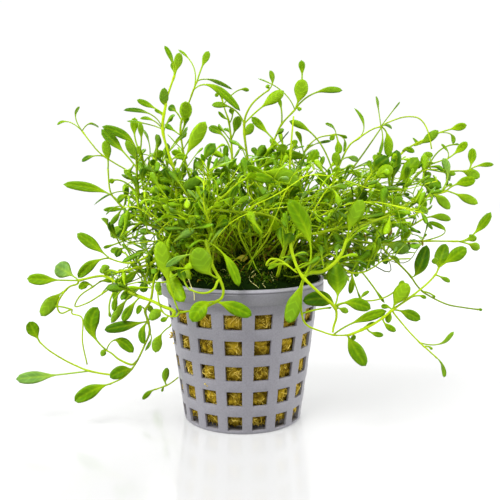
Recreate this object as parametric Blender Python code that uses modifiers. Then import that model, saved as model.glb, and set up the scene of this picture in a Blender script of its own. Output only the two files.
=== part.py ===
"""A potted foreground plant for aquariums: a round net pot, the rockwool plug inside it, the moss
on the plug, and the long leafy shoots that stand over the pot and hang down its sides.

Lengths in the constants are millimetres. The origin is the middle of the pot's underside, +Z is
up, and the side the plant is looked at from is -Y.
"""
import math
import random
from collections import namedtuple

import bmesh
import bpy
from mathutils import Matrix, Vector, noise
from mathutils.bvhtree import BVHTree

MM = 0.001
COLLECTION_NAME = "potted_glossostigma"

# Net pot
POT_HEIGHT = 48.5
BASE_RADIUS = 20.0
RIM_RADIUS = 27.5
WALL_TOP_RADIUS = 25.8
COLLAR_HEIGHT = 5.2
WALL_THICKNESS = 0.9
HOLE_COLUMNS = 16
HOLE_ROWS = 5
HOLE_HALF_ANGLE = math.radians(6.7)
HOLE_HEIGHT = 5.0
HOLE_ROW_PITCH = 8.55
TOP_ROW_UPPER_EDGE = 40.3
FIRST_COLUMN_ANGLE = math.radians(-7.4)
BASE_SLOT_INNER_RADIUS = 7.0
BASE_SLOT_OUTER_RADIUS = 14.5

# Rockwool plug, which stays this far inside the pot's wall
PLUG_CLEARANCE = 0.7
PLUG_BOTTOM = 1.7
PLUG_TOP = 46.4
PLUG_FOOT_RADIUS = 16.6
PLUG_SHOULDER_HEIGHT = 4.2
PLUG_SIDES = 24

# Moss mound
MOSS_BOTTOM = 46.8
MOSS_RADIUS = 25.9
MOSS_RIM_HEIGHT = 1.2
MOSS_DOME_HEIGHT = 9.0
MOSS_LUMP = 1.1

# Shoots
TOUCHING_GAP = 0.3
STEM_TIP_SHARE = 0.6
STEM_SIDES = 3
STEM_FULLNESS = 1.25
STEM_TWISTS = [math.radians(angle) for angle in (0, 17, 34, 51, 68, 85, 102)]
LEAF_THICKNESS = 0.45
PETIOLE_WIDTH = 0.55
FOOT_WIDTH = 0.18
FOOT_STEP = 0.5
LEAST_STALK = 1.3
SMALL_LEAF_WIDTH = 3.6
LEAST_LEAF_WIDTH = 2.0
KEPT_SHARES = (0.6, 0.65, 0.7, 0.75, 0.8, 0.85)
CLEARANCE_STEP = 0.7
CLEARANCE_TRIES = 60
ROOT_STEP = 0.12
GOLDEN_ANGLE = math.radians(137.5)
FLAT_ANGLE = math.radians(2.0)
KEPT_VOLUME = 0.93
LEAST_EDGE = 0.1

# Inner shoots
INNER_SEED = 7
INNER_SIDES = 4
FIRST_WHORL = 6.0
WHORL_STEP = 5.2
FOOT_LENGTH = 1.1
INNER_LEAF_LENGTHS = (7.0, 13.0)
INNER_LEAF_WIDTH = 3.4
INNER_WIDEST = 0.62
INNER_LEAF_TRIES = 8
LEAF_BEND = 0.35
LEAF_RISE = (0.1, 0.7)
STALK_FACES = [(0, 1, 5, 4), (1, 2, 6, 5), (2, 3, 7, 6), (3, 0, 4, 7)]
BLADE_FACES = [(0, 1, 2, 3), (0, 1, 4), (1, 2, 4), (2, 3, 4), (3, 0, 4)]

# Every route point is written as it is seen from here: how far across and how far up it lies in
# the pot's middle plane, and how far in front (-) or behind (+) of that plane it really is.
SIGHT_POINT = Vector((-0.9, -258.5, 90.2))

Shoot = namedtuple("Shoot", "name thickness root route leaves")
Leaf = namedtuple("Leaf", "where middle tip blade width turn")


def shoot(name, thickness, root, route, leaves):
    """A shoot: its stem's thickness, where it roots (across, depth), its route and its leaves.

    A leaf is (place along the route, middle (across, up), tip (across, up, depth), blade length,
    blade width, turn of the blade away from the viewer in degrees).
    """
    return Shoot(name, thickness, root, route, [Leaf(*leaf) for leaf in leaves])


SHOOTS = [
    # Runners that hang in front of the pot
    shoot("shoot_front_left", 1.1, (-10, -18),
          [(-12.3, 60.4, -26), (-11.3, 56, -28), (-10, 51.7, -29.5), (-7.9, 47.7, -31), (-6.6, 44.2, -32),
           (-7, 41.4, -32), (-9, 39.8, -32), (-14.5, 37.2, -31), (-21.8, 36, -30)],
          [(1, (-5.8, 55.3), (-1.2, 45, -31), 10.5, 3.0, 0),
           (4, (-12.6, 51.2), (-15.4, 58.6, -34), 9.5, 6.4, 0),
           (7, (-13.4, 38.4), (-17.3, 32.7, -35), 7.8, 5.0, 0),
           (7, (-3.5, 37.9), (3.1, 34.9, -34), 12, 4.3, 10),
           (9, (-25.4, 47.5), (-28, 60.9, -33), 12.5, 4.9, 0)]),
    shoot("shoot_front_loop", 0.9, None,
          [(-8.6, 46.7, -32), (-9.6, 44.4, -33), (-12, 42.9, -34), (-15, 42.9, -34), (-18, 44, -33)],
          [(5, (-19.6, 46.3), (-21.5, 51.5, -28), 4, 2.6, 20)]),
    shoot("shoot_front_right", 1.1, (11, -19),
          [(15.3, 60.5, -27), (17, 56, -29), (18.4, 52, -30), (20.7, 48.1, -31), (25.5, 43.4, -31),
           (31.3, 38, -29), (32.2, 34.5, -28.5), (31.3, 31, -28), (31, 28.9, -28)],
          [(4, (18.4, 40.8), (15.6, 32.2, -30), 12, 4.7, 0),
           (4, (22.9, 60), (15.3, 74.8, -30), 13, 5.2, 0),
           (6, (28.5, 40.7), (20.6, 39.9, -20), 14, 4.9, 0),
           (6, (32.6, 43.5), (31.3, 53.2, -23), 9, 6.4, 0),
           (6, (36.8, 39.3), (44, 37.1, -29), 8, 3.9, 0),
           (6, (33.5, 37.2), (36.4, 36.1, -26), 3.5, 1.9, 0)]),
    shoot("shoot_front_right_low", 0.8, None,
          [(20.5, 46.4, -32), (20.1, 43, -32), (20, 38.5, -31), (20.3, 35.5, -31), (21, 32.9, -30),
           (23, 30.9, -30), (26.5, 29.5, -29.5), (31.2, 28, -29.3), (36.3, 27.9, -29)],
          [(9, (38.4, 23.6), (42.7, 17, -29), 10.5, 4.6, 0),
           (9, (38.1, 27.9), (37.8, 26.2, -29), 2, 1.6, 0),
           (8, (38.3, 32.4), (49.5, 36.4, -26), 10, 3.1, 0),
           (4, (25.2, 36.9), (30.6, 37.6, -31), 1.5, 0.7, 0)]),
    shoot("shoot_right_runner", 0.9, None,
          [(37.3, 28.2, -28.5), (41, 29.8, -28), (45, 31.8, -27), (48.3, 34.1, -26), (51.4, 36.7, -25),
           (57, 40.8, -24), (62.5, 45.3, -22), (65.8, 48.9, -22), (67, 51.5, -22)],
          [(5, (53.3, 41), (56.7, 45.9, -28), 8.5, 4.7, 0),
           (5, (55.1, 36.1), (61.2, 33.3, -24), 6, 3.3, 0),
           (5, (50.3, 34.9), (50.1, 32.1, -25), 3.6, 2.1, 0),
           (5, (49.6, 37.9), (47.5, 37.8, -23), 3, 1.6, 0),
           (4, (49.2, 31.7), (52.9, 29.3, -27), 3.6, 2.0, 0),
           (2.4, (44.6, 28.7), (48.6, 27.9, -27), 3.6, 1.7, 0),
           (2, (43.2, 31.4), (45.8, 32.2, -26), 4, 1.3, 0),
           (9, (67.4, 54.2), (69.1, 59.6, -20), 8, 4.3, 0),
           (9, (70.9, 54.4), (76.2, 58.2, -24), 7.5, 4.1, 0),
           (8, (67.9, 48.1), (71, 46.3, -22), 3, 1.6, 20),
           (9, (66.1, 53), (65, 54.6, -23), 2.6, 2.2, 0),
           (6, (60.2, 41.7), (63, 40.7, -25), 2.4, 1.2, 0)]),
    shoot("shoot_right_fork", 0.7, None,
          [(33, 38.6, -27.5), (36, 39.4, -26), (40, 39.9, -25), (45, 40.1, -23), (49.3, 41.4, -21),
           (52.4, 43.4, -20)],
          [(6, (53.8, 45), (55, 47, -20), 3, 1.8, 20),
           (3, (41, 41.6), (43.4, 43.3, -24), 3, 1.4, 30)]),
    shoot("shoot_right_thread", 0.6, None,
          [(52.1, 35.4, -24.5), (54.3, 32.7, -24), (57.3, 29.2, -24), (61.2, 25.2, -23),
           (64.2, 22.5, -23),
           (67.2, 19.8, -22)],
          [(6, (69.1, 17.2), (69.9, 12.8, -22), 6.5, 2.6, 58),
           (4, (68.3, 24.8), (72.9, 29.1, -19), 8, 2.6, 60),
           (4.5, (64.5, 23.7), (65.5, 22.6, -23), 1.6, 0.9, 0)]),
    shoot("shoot_right_long", 0.8, (19, -12),
          [(33, 60, -14), (41, 60.3, -12), (46.5, 58.8, -10), (50, 55.6, -9), (54, 52, -9),
           (57.4, 48.4, -9),
           (60, 44.8, -9), (63.3, 42, -9), (70, 38.7, -8), (76, 37.5, -8), (81, 36.8, -8)],
          [(6, (59.9, 50.3), (62.6, 59.2, -6), 9, 4.5, 0),
           (3, (50.6, 59), (56.6, 57, -4), 8.5, 4.6, 0),
           (7.6, (64.5, 42.3), (65.9, 40.9, -10), 1.5, 1.0, 0),
           (11, (81.6, 36.8), (82.4, 36.5, -8), 1.6, 1.0, 0)]),
    shoot("shoot_right_hanging", 0.7, (18, -15),
          [(29, 56, -20), (33.5, 52, -21), (37, 49.7, -20), (41.5, 50, -18), (45, 51.8, -16),
           (48.5, 54, -14),
           (57, 54.5, -11)],
          [(3, (37.4, 47), (36.7, 42.3, -21), 4.8, 1.9, 0),
           (3, (38.7, 45), (40.4, 40.2, -21), 3, 1.0, 40),
           (3.8, (43.8, 46), (48.7, 39.1, -22), 3.5, 1.0, 0),
           (6, (51, 55.4), (53.5, 53, -13), 4, 1.6, 50)]),
    shoot("shoot_right_leafy", 0.8, (17, -9),
          [(28, 57.5, -12), (34, 58.2, -10), (40, 58, -9)],
          [(2, (38.5, 55.4), (43.6, 51.2, -11), 6.5, 2.9, 0),
           (3, (42.3, 56.5), (44.8, 51.9, -7), 5.5, 2.3, 0),
           (2.6, (37.7, 54.6), (39.1, 50.5, -8), 4.5, 2.6, 0),
           (2, (36.3, 56), (37, 52.8, -12), 3.6, 2.0, 60),
           (3, (44, 59.5), (48, 62.6, -6), 5, 3.2, 10)]),

    # Runners that hang on the left
    shoot("shoot_left_runner", 0.9, (-15, -15),
          [(-24, 56, -22), (-29.5, 49, -25), (-31.3, 40.5, -24), (-33.3, 36.8, -23), (-32.4, 33, -22),
           (-31.9, 29.2, -21), (-33.8, 24.5, -20), (-36, 19.8, -19), (-38.3, 16.2, -18), (-41.5, 13.1, -17),
           (-46, 10.9, -16)],
          [(11, (-51.5, 8.9), (-58.3, 4.9, -15), 12, 4.6, 0),
           (9, (-41.4, 15.6), (-45.9, 13.2, -20), 7.5, 4.0, 0),
           (5, (-34.5, 29.4), (-33.9, 25.1, -24), 6.8, 2.4, 0),
           (5, (-39.5, 31.6), (-47.4, 30, -25), 12, 3.5, 0),
           (6, (-31.5, 26), (-33.7, 22.6, -21), 6, 2.4, 68),
           (4, (-34.8, 38), (-36, 35.4, -24), 3.6, 1.8, 0),
           (4, (-32.2, 38), (-30.9, 36, -22), 3, 1.9, 0),
           (1, (-24.6, 48.5), (-19.9, 39.7, -34), 13, 4.7, 0)]),
    shoot("shoot_left_outer", 0.8, None,
          [(-39.4, 15.9, -15.5), (-42, 14.6, -14), (-46, 14.3, -13), (-52.9, 15.6, -12),
           (-57.5, 17.5, -12),
           (-62, 19.9, -13), (-66.5, 22.9, -14), (-69.6, 25.8, -14)],
          [(8, (-71.1, 28.9), (-73, 33, -14), 6, 4.1, 0),
           (4, (-64.5, 14.2), (-78.3, 12.8, -9), 13, 4.2, 0)]),
    shoot("shoot_left_fork", 0.8, None,
          [(-38.4, 17.8, -20), (-42.5, 19.6, -20), (-45, 21.7, -20), (-46.9, 22.9, -20)],
          [(4, (-51.8, 30.4), (-49.4, 38, -18), 12, 5.0, 0),
           (4, (-47.7, 22.4), (-48.5, 20.7, -20), 2.6, 1.9, 0),
           (4, (-43.2, 26.5), (-37.6, 22, -20), 6.8, 3.4, 0)]),
    shoot("shoot_left_hub", 1.2, None,
          [(-23.6, 36.6, -29), (-27.5, 38.3, -26), (-31, 40.1, -22), (-37.5, 42.6, -18), (-42, 45.8, -16),
           (-46, 48.4, -13), (-49.5, 48.6, -11), (-55.7, 47.2, -9)],
          [(8, (-59.2, 49.9), (-63.4, 52.3, -6), 7, 5.8, 0),
           (8, (-64, 47.4), (-73.2, 47.9, -10), 9.5, 3.8, 0),
           (4, (-41.2, 38.5), (-45, 32.4, -15), 9, 2.6, 10),
           (3.6, (-38.4, 37.5), (-41, 33, -20), 7.5, 2.8, 0),
           (5, (-45.2, 40.3), (-45.2, 34.3, -17), 2, 1.0, 0),
           (4.6, (-43, 41.5), (-43.9, 36.5, -19), 4.6, 1.9, 0),
           (6, (-47.4, 50.9), (-45, 51.9, -15), 4.5, 2.2, 10)]),
    shoot("shoot_left_loop", 0.7, None,
          [(-56.3, 46, -10), (-59, 45, -9), (-61.3, 42.5, -9), (-63, 39.5, -9), (-63, 37, -9),
           (-61.6, 35.9, -9), (-58.4, 37.2, -9), (-58.2, 35.7, -9), (-54.8, 34, -10), (-55, 26, -11),
           (-53.6, 17.9, -12)],
          [(2.5, (-63.8, 41.1), (-68.9, 34.9, -8), 9, 4.4, 0),
           (7, (-61.5, 38.1), (-64.2, 38.3, -9), 1.4, 0.9, 0)]),
    shoot("shoot_left_twin", 0.6, None,
          [(-44.8, 44.9, -16.5), (-49.5, 41.5, -13), (-53.5, 39.2, -12), (-57.2, 38.3, -11),
           (-55.3, 42, -11),
           (-51, 45, -11), (-48.3, 46.9, -12)],
          [(6, (-53, 46), (-55.7, 44.3, -11), 4, 2.5, 0),
           (7, (-46, 47.3), (-43.6, 47.2, -11), 4, 1.8, 0)]),
    shoot("shoot_left_pale", 0.6, None,
          [(-22.8, 34.7, -30.5), (-25.5, 34.9, -29), (-27.5, 36.5, -28.5), (-28.6, 39.8, -28),
           (-29, 43.2, -27)],
          [(3, (-29, 36.2), (-32, 33.5, -27), 4.8, 3.2, 0),
           (5, (-29, 44.6), (-28.3, 46.8, -27), 3.2, 1.8, 0),
           (2, (-26.2, 34), (-28.2, 33.2, -28), 2.2, 1.6, 0)]),
    shoot("shoot_from_pot_wall", 0.5, None,
          [(-22.3, 13.2, 2.6), (-24.3, 11.6, 1), (-26.3, 10.4, 0), (-30.3, 8.9, -1)],
          [(4, (-32.3, 7.9), (-34.8, 5.3, -2), 4.4, 1.8, 0),
           (3, (-26.9, 12.6), (-26, 16.7, 0), 4.8, 2.5, 0),
           (3.2, (-27.6, 9.4), (-28, 8, 0), 1.3, 0.9, 0)]),
    shoot("shoot_left_level", 1.0, (-14, -9),
          [(-24, 56.5, -12), (-31.5, 52.8, -13), (-37.5, 51.2, -13), (-43, 49.9, -12)],
          [(4, (-45.6, 50.8), (-48.6, 50.2, -9), 4.5, 2.3, 0),
           (2.6, (-37.2, 49.2), (-41.3, 46.1, -15), 6, 2.6, 0),
           (2, (-33.2, 47), (-33.9, 43, -16), 6, 2.8, 0),
           (2, (-30.8, 49.2), (-32.3, 45.9, -11), 4, 1.7, 0),
           (3.5, (-41.5, 48), (-43.5, 46.5, -18), 3.5, 1.8, 0)]),
    shoot("shoot_left_pair", 0.9, (-12, -4),
          [(-24, 60, -6), (-33, 55, -4), (-38, 53.2, -2), (-42, 53.7, 0), (-45.3, 54.9, 0)],
          [(5, (-49.7, 58.8), (-55.8, 63.3, 2), 11, 3.9, 0),
           (5, (-50.5, 53.2), (-55.9, 48.1, -4), 9.5, 3.5, 0),
           (2, (-39.5, 58.4), (-42.7, 55.1, -7), 4.5, 2.4, 0),
           (3, (-40, 56.6), (-44.8, 57.4, 3), 5, 2.4, 10)]),

    # Shoots that rise on the left
    shoot("shoot_left_tall", 1.0, (-10, -3),
          [(-22, 63, -4), (-31, 66, -4), (-34.7, 71, -4), (-35.2, 78, -4), (-35.3, 88, -4)],
          [(5, (-37.2, 94.4), (-46.6, 98.9, -3), 11, 3.0, 0),
           (5, (-36.1, 90), (-38.8, 94.3, -6), 5.8, 2.8, 0),
           (4.7, (-39.3, 90.2), (-46.8, 98, 0), 8.5, 3.5, 0),
           (2.6, (-36.6, 69.2), (-39, 68.4, -6), 2.8, 2.3, 0),
           (3.9, (-37, 81.3), (-39, 83.2, -4), 4, 2.6, 0),
           (3.8, (-40.2, 80.9), (-44.6, 80.4, -7), 2.6, 1.8, 0),
           (3.4, (-41, 77.4), (-50, 72.7, -6), 7, 2.4, 76),
           (3.3, (-38.8, 76), (-42, 73.6, -2), 4.6, 2.3, 20),
           (2.4, (-37.6, 64.5), (-41.7, 60.8, -5), 5, 1.2, 0)]),
    shoot("shoot_left_high", 0.9, (-12, 2),
          [(-26, 64, 4), (-36, 68, 6), (-41.5, 73.5, 6), (-44.3, 77.5, 5), (-44.9, 85, 5)],
          [(5, (-44.9, 89.3), (-45.8, 94.3, 4), 6.8, 3.1, 0),
           (3, (-47.3, 77.7), (-60, 79.8, 8), 13, 3.4, 0),
           (2.6, (-42.3, 71.5), (-46.8, 71.2, 4), 6, 1.8, 0),
           (1.6, (-38.5, 62.8), (-40.3, 60.5, 2), 3.5, 1.2, 0),
           (1.3, (-40.5, 60.6), (-47.1, 58.4, 3), 6, 1.2, 0)]),
    shoot("shoot_left_star", 0.7, (-6, 8),
          [(-17, 70, 10), (-27, 79, 12), (-33.5, 82.3, 12), (-38.5, 84.5, 11), (-46.5, 89.4, 10),
           (-50.3, 93.5, 9), (-53.2, 97.5, 9)],
          [(7, (-57.5, 100.4), (-61.4, 99.4, 10), 4.5, 1.8, 66),
           (7, (-55.2, 102), (-53.8, 105.5, 8), 4.5, 2.2, 60),
           (7, (-50.6, 99.8), (-47.6, 98.6, 8), 4.5, 2.2, 68),
           (4.9, (-49.5, 89.2), (-53.6, 87.4, 11), 4.5, 2.2, 40)]),
    shoot("shoot_left_oval", 0.9, (-8, 3),
          [(-16, 66, 2), (-24.5, 71, 3), (-29.8, 76, 3), (-32.2, 84.5, 2), (-34.3, 91, 2)],
          [(5, (-35.8, 96), (-35.6, 101.9, 3), 5.5, 2.7, 0),
           (5, (-33.6, 94.5), (-34, 100.3, 0), 4.2, 2.0, 0),
           (4, (-30.8, 91.8), (-33.3, 98.2, 5), 6, 2.4, 70),
           (4, (-29.8, 88), (-26.3, 90.8, 4), 5, 2.8, 0),
           (3.2, (-28, 77.7), (-25.5, 75, 1), 4, 2.4, 0)]),
    shoot("shoot_tall_left", 1.1, (-5, -2),
          [(-14, 64, -4), (-21.5, 71, -5), (-22.2, 82, -5), (-24.3, 89, -5), (-26.5, 98, -5),
           (-25.4, 105.8, -5), (-24.7, 109, -5), (-22.3, 115.6, -5)],
          [(8, (-23, 119.8), (-25.5, 125.1, -4), 6.5, 2.2, 45),
           (8, (-21.4, 118.6), (-20.6, 122.9, -7), 5.5, 2.8, 0),
           (8, (-22.4, 117.6), (-22.2, 120.3, -3), 4, 2.6, 0),
           (6, (-25.9, 107.2), (-25.7, 111.6, -6), 4.8, 3.0, 0),
           (5, (-30.6, 103), (-39.4, 104.2, -8), 8, 2.2, 50),
           (5, (-29.8, 101), (-33.9, 101.5, -3), 5, 1.6, 45),
           (5, (-31.5, 99.7), (-38.4, 100.7, 0), 6, 1.4, 55),
           (5.6, (-29.2, 105), (-34.9, 107.6, -2), 5.8, 2.0, 0),
           (5.5, (-27.2, 103.3), (-29.1, 104.4, -5), 2.4, 1.1, 0),
           (3, (-18.3, 90.3), (-12.2, 100.6, -10), 11, 4.4, 0),
           (2.5, (-19.8, 78.2), (-13.6, 81.9, -13), 9, 3.7, 0),
           (3.8, (-21.5, 89), (-18.2, 88.5, -7), 5, 2.1, 0)]),
    shoot("shoot_tall_arch", 0.8, (-3, 4),
          [(-10, 68, 6), (-17, 80, 8), (-20.5, 96, 8), (-19.5, 103, 7), (-17.6, 107, 6),
           (-16.2, 110.7, 5),
           (-14.9, 113.7, 5)],
          [(7, (-13.3, 118.2), (-11, 123.4, 5), 5, 2.4, 0),
           (7, (-10.3, 114.1), (-3.2, 111, 2), 9, 2.5, 60),
           (6, (-9.8, 112), (-0.7, 104, -2), 14, 2.7, 10),
           (5.6, (-15.8, 117.6), (-21.1, 123.9, 9), 4.5, 1.8, 55),
           (3.1, (-19, 101), (-18.8, 107.2, 1), 8, 4.3, 0),
           (3.6, (-22, 103.8), (-24.5, 105.3, 10), 4, 2.6, 20)]),

    # Shoots that rise in the middle
    shoot("shoot_middle_left", 0.8, (1, 6),
          [(-1.5, 68, 8), (-3, 80, 10), (-3.7, 94, 10), (-4.5, 100.5, 9), (-5.8, 104.5, 8),
           (-6.7, 107.8, 8)],
          [(6, (-7.8, 109.4), (-8.9, 108.6, 7), 2.2, 1.4, 0),
           (6, (-6.2, 109.4), (-6, 110.6, 8), 2.4, 1.3, 0),
           (3.9, (-3.3, 102.6), (-4.1, 104.9, 6), 3, 1.9, 0),
           (3.1, (-2.2, 98.6), (-1.4, 102.4, 5), 7, 3.1, 0),
           (4.2, (-6.2, 102), (-8, 103.9, 9), 3.5, 1.2, 0),
           (5.5, (-1.6, 110.6), (2.2, 110.5, 11), 4, 1.5, 20),
           (2.6, (-6, 95.4), (-11.3, 98.6, 14), 6.5, 2.8, 10),
           (2, (-6.5, 82.5), (-9.5, 84.3, 6), 5, 3.2, 0)]),
    shoot("shoot_middle", 0.9, (4, 3),
          [(3.5, 68, 4), (2.8, 80, 3), (0.8, 95, 1), (0.6, 99.7, 1), (1.3, 103, 1), (3.3, 106.4, 1),
           (6, 108.9, 1), (8.8, 110.9, 1)],
          [(8, (10, 113.8), (9, 117.2, 0), 4.8, 2.2, 40),
           (8, (8.6, 111.9), (7.7, 111.6, 1), 1.8, 1.4, 0),
           (4, (5.6, 104.6), (13.8, 110.6, -1), 7.5, 3.7, 0),
           (4, (-3.4, 104.9), (-10.2, 105.9, 3), 5.5, 2.1, 0),
           (3.2, (1.9, 97.3), (3.4, 100, 0), 4.5, 2.9, 0),
           (2.3, (0.3, 90.8), (-1, 91.4, 4), 2.6, 2.2, 0)]),
    shoot("shoot_tall_right", 0.9, (6, 0),
          [(5, 68, 2), (6.5, 80, 4), (8.7, 90, 5), (10.8, 95, 5), (13, 99.6, 5), (17.5, 104.5, 4)],
          [(6, (19, 109), (19.8, 114.5, 2), 8, 4.7, 0),
           (6, (19.5, 112.3), (19.4, 120.6, 5), 4.6, 2.3, 0),
           (6, (24, 109.9), (33.2, 110.7, 4), 8.5, 2.2, 0),
           (6, (13, 110.6), (5, 114.6, 5), 4, 1.2, 60),
           (5, (13, 104), (12, 108.2, 6), 3.5, 1.4, 0),
           (5.9, (18.6, 105.3), (18.9, 103.9, 1), 1.8, 1.6, 0)]),
    shoot("shoot_middle_right", 0.9, (10, -2),
          [(14, 66, -3), (15.5, 78, -3), (15.9, 88, -2), (16.4, 95, -1), (17, 102.3, 0)],
          [(3, (10.3, 94.7), (3, 102.1, 3), 7, 2.6, 0),
           (3, (13.9, 90.2), (13.2, 93.3, -5), 4, 3.6, 0),
           (2.1, (21, 84.6), (25, 91.4, 0), 8, 3.7, 0),
           (3.4, (17.2, 93), (17.8, 94.6, -1), 3, 1.9, 0)]),
    shoot("shoot_right_star", 0.7, (12, 5),
          [(17, 68, 8), (19.5, 80, 10), (20, 89, 10), (24.5, 94.8, 9), (31.3, 96.4, 9)],
          [(5, (30.2, 98.6), (27.5, 99.9, 9), 4.5, 2.4, 62),
           (5, (33.2, 96), (34.9, 95, 9), 2.6, 1.8, 50),
           (5, (30.3, 95.7), (29.4, 94.3, 8), 2.4, 1.8, 0),
           (5, (34.2, 94.3), (33.8, 90.4, 10), 5.5, 2.4, 66),
           (5, (32, 93.2), (32.1, 89.8, 7), 5, 2.6, 0),
           (3, (23.6, 92.8), (29.6, 94.1, 12), 5.5, 2.0, 62)]),
    shoot("shoot_right_clasp", 0.9, (14, 1),
          [(22, 66, 3), (28, 74, 5), (31, 81, 5), (31.5, 85.5, 5)],
          [(4, (31.4, 87.4), (31.2, 90.6, 5), 4.6, 3.1, 0),
           (3, (25.2, 94.4), (15.5, 100.7, 3), 9, 2.4, 0),
           (3.6, (34, 88.4), (38.9, 87.6, 7), 3.9, 2.0, 0),
           (2.3, (27.5, 79), (25, 82, 8), 4, 2.4, 0)]),
    shoot("shoot_right_tall", 0.8, (14, 4),
          [(22, 65, 10), (29, 78, 14), (34.8, 91.3, 13), (38.7, 95, 12), (43, 97.9, 11), (46.2, 99, 10)],
          [(6, (45.2, 104.5), (44.3, 109, 10), 6, 2.0, 72),
           (6, (49.4, 103.3), (52.3, 107.1, 9), 4, 1.8, 68),
           (6, (48, 99.3), (49.8, 98.1, 9), 3.4, 2.2, 66),
           (6, (48.5, 95.6), (48.6, 89, 11), 7.2, 3.2, 0),
           (6, (46.8, 94), (45.6, 88.7, 8), 8, 2.4, 62),
           (4, (40.4, 99.4), (37, 105.1, 14), 7, 2.4, 66)]),
    shoot("runner_arch", 0.5, None,
          [(47, 99.5, 9), (49.5, 100.7, 8), (53, 101.9, 7), (56.2, 102.2, 7), (58.8, 101.6, 6),
           (60.9, 99.4, 6),
           (62.4, 95.8, 5), (63.3, 91.5, 5)],
          []),
    shoot("shoot_right_second", 0.8, (16, -3),
          [(25, 66, 4), (32, 78, 6), (41, 90.8, 8), (45.6, 97.6, 8.5)],
          [(2, (23.5, 87.8), (8.5, 89, -4), 15, 3.3, 0),
           (2.4, (37.4, 83.5), (40.5, 82.2, 6), 4, 1.9, 0),
           (1.5, (33.5, 75), (37.2, 76.3, 4), 4, 2.2, 0)]),
    shoot("shoot_right_broad", 1.1, (17, -7),
          [(28, 64, -6), (35, 69, -6), (41.5, 80.5, -6), (43.5, 83.3, -6)],
          [(4, (45.3, 85.8), (48.9, 88.9, -7), 6.6, 4.7, 0),
           (4, (44.2, 86.8), (44.5, 89.8, -3), 3.4, 1.8, 0),
           (4, (42.9, 85.7), (42, 87.7, -5), 3.4, 1.8, 0),
           (3.2, (46.2, 83), (50.2, 85.7, -9), 7, 4.4, 0),
           (1.6, (30.2, 69.5), (36.9, 69.3, -10), 6, 4.2, 10)]),
    shoot("shoot_right_cluster", 1.1, (18, -4),
          [(30, 65, -2), (40, 70.5, -2), (50, 78, -2)],
          [(3, (54, 82.4), (58.7, 88.8, -2), 9.5, 4.7, 0),
           (3, (51.1, 84), (51.6, 91.3, 1), 8, 3.5, 0),
           (3, (49, 82.5), (49.6, 87, 3), 6, 3.8, 0),
           (3, (53.5, 79.8), (57.2, 80.6, -5), 5, 3.0, 0),
           (2.5, (46, 76.7), (45.3, 80.2, -5), 5, 3.0, 0)]),
    shoot("shoot_right_upper", 0.8, (18, 4),
          [(33, 68, 6), (44, 79, 8), (53.5, 90.3, 8), (61.5, 95, 8), (65.6, 96.9, 8)],
          [(3.5, (60.8, 94.1), (65.4, 97.7, 4), 6.5, 3.1, 0),
           (5, (69.2, 98), (74.9, 99.4, 9), 5, 2.7, 0),
           (5, (69.7, 96.3), (70.4, 93.1, 8), 4.5, 1.7, 30),
           (3.8, (59.1, 93.2), (56.8, 95.4, 9), 4, 2.0, 60),
           (3, (54.6, 91.6), (57.6, 90.4, 6), 3.4, 2.0, 0)]),
    shoot("shoot_right_reach", 0.8, (17, 7),
          [(32, 64, 10), (44, 70, 12), (52, 75.5, 12), (61, 85, 10), (66, 87.4, 9), (68.8, 88.3, 9)],
          [(6, (71.8, 90.6), (75.2, 93.9, 9), 5.6, 2.8, 0),
           (6, (68.8, 90.6), (66.4, 93.2, 9), 3.6, 1.8, 60),
           (4, (60.8, 88.6), (63.9, 89.4, 7), 5.4, 2.7, 0),
           (4.3, (66.5, 91.4), (72.6, 93.1, 12), 2, 0.8, 0),
           (4, (66, 84.1), (71.8, 83.1, 12), 4.5, 1.9, 0),
           (3.4, (60.7, 81), (62.4, 84.1, 8), 4, 2.5, 0)]),
    shoot("shoot_right_far", 0.6, None,
          [(61.9, 84.7, 8.5), (66, 84.7, 7), (70, 84.2, 6), (76.1, 84.3, 6)],
          [(3.3, (75.4, 83.8), (79.9, 82.1, 6), 6, 3.4, 0),
           (4, (76.9, 87.3), (76.9, 91.9, 7), 5.4, 2.9, 0),
           (4, (79.4, 86), (84.4, 86.3, 8), 5.6, 1.7, 0)]),
    shoot("shoot_long_right", 1.1, (13, -15),
          [(18, 61.5, -21), (25, 63.2, -22), (35, 65.5, -18), (45, 68.2, -12), (53, 71.8, -8),
           (60, 74.8, -4),
           (69, 77.6, 0)],
          [(7, (73.2, 76), (79.6, 73.2, 1), 7.5, 3.0, 0),
           (7, (72.4, 79.9), (78.5, 81, -2), 6, 3.5, 0),
           (6.7, (69, 82.4), (67.2, 88.5, -1), 6, 2.6, 0),
           (6.4, (66.2, 75.2), (70.1, 71.3, -3), 6, 3.2, 0),
           (6.8, (68.9, 79.1), (70.7, 79.5, 1), 2.4, 1.3, 0),
           (5.3, (58.6, 75), (62, 71.9, -8), 6, 3.0, 0),
           (4, (48.5, 66.7), (52.3, 66.3, -14), 4.4, 2.6, 0)]),
    shoot("shoot_thick_right", 1.3, None,
          [(22.6, 49.6, -30.5), (27.2, 50.2, -29), (31, 52.8, -28), (33.6, 56.2, -27), (35.4, 60.8, -25),
           (39, 65, -22), (52, 70, -13), (57.5, 71.3, -10)],
          [(5, (36.8, 66.8), (40.5, 74.6, -27), 9.5, 4.8, 0),
           (8, (60, 71.6), (62.8, 70.2, -10), 4, 2.2, 0),
           (7, (51.5, 73.5), (54.2, 75, -14), 4.5, 2.4, 10)]),
    shoot("shoot_right_curl", 0.8, (17, 2),
          [(30, 62, 5), (42, 62, 6), (50, 61.5, 6), (54, 63.8, 6), (61, 68, 6)],
          [(5, (65.4, 68.9), (70.6, 67.7, 7), 7.5, 2.6, 0),
           (5, (62.6, 66.6), (64.4, 64.4, 6), 4, 1.5, 30),
           (4.6, (58.6, 68.3), (56.6, 69, 4), 3.2, 1.3, 0),
           (2.6, (46, 64.5), (49.5, 66.2, 3), 4.6, 2.8, 0)]),
    shoot("shoot_right_level", 0.9, (19, -2),
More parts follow.
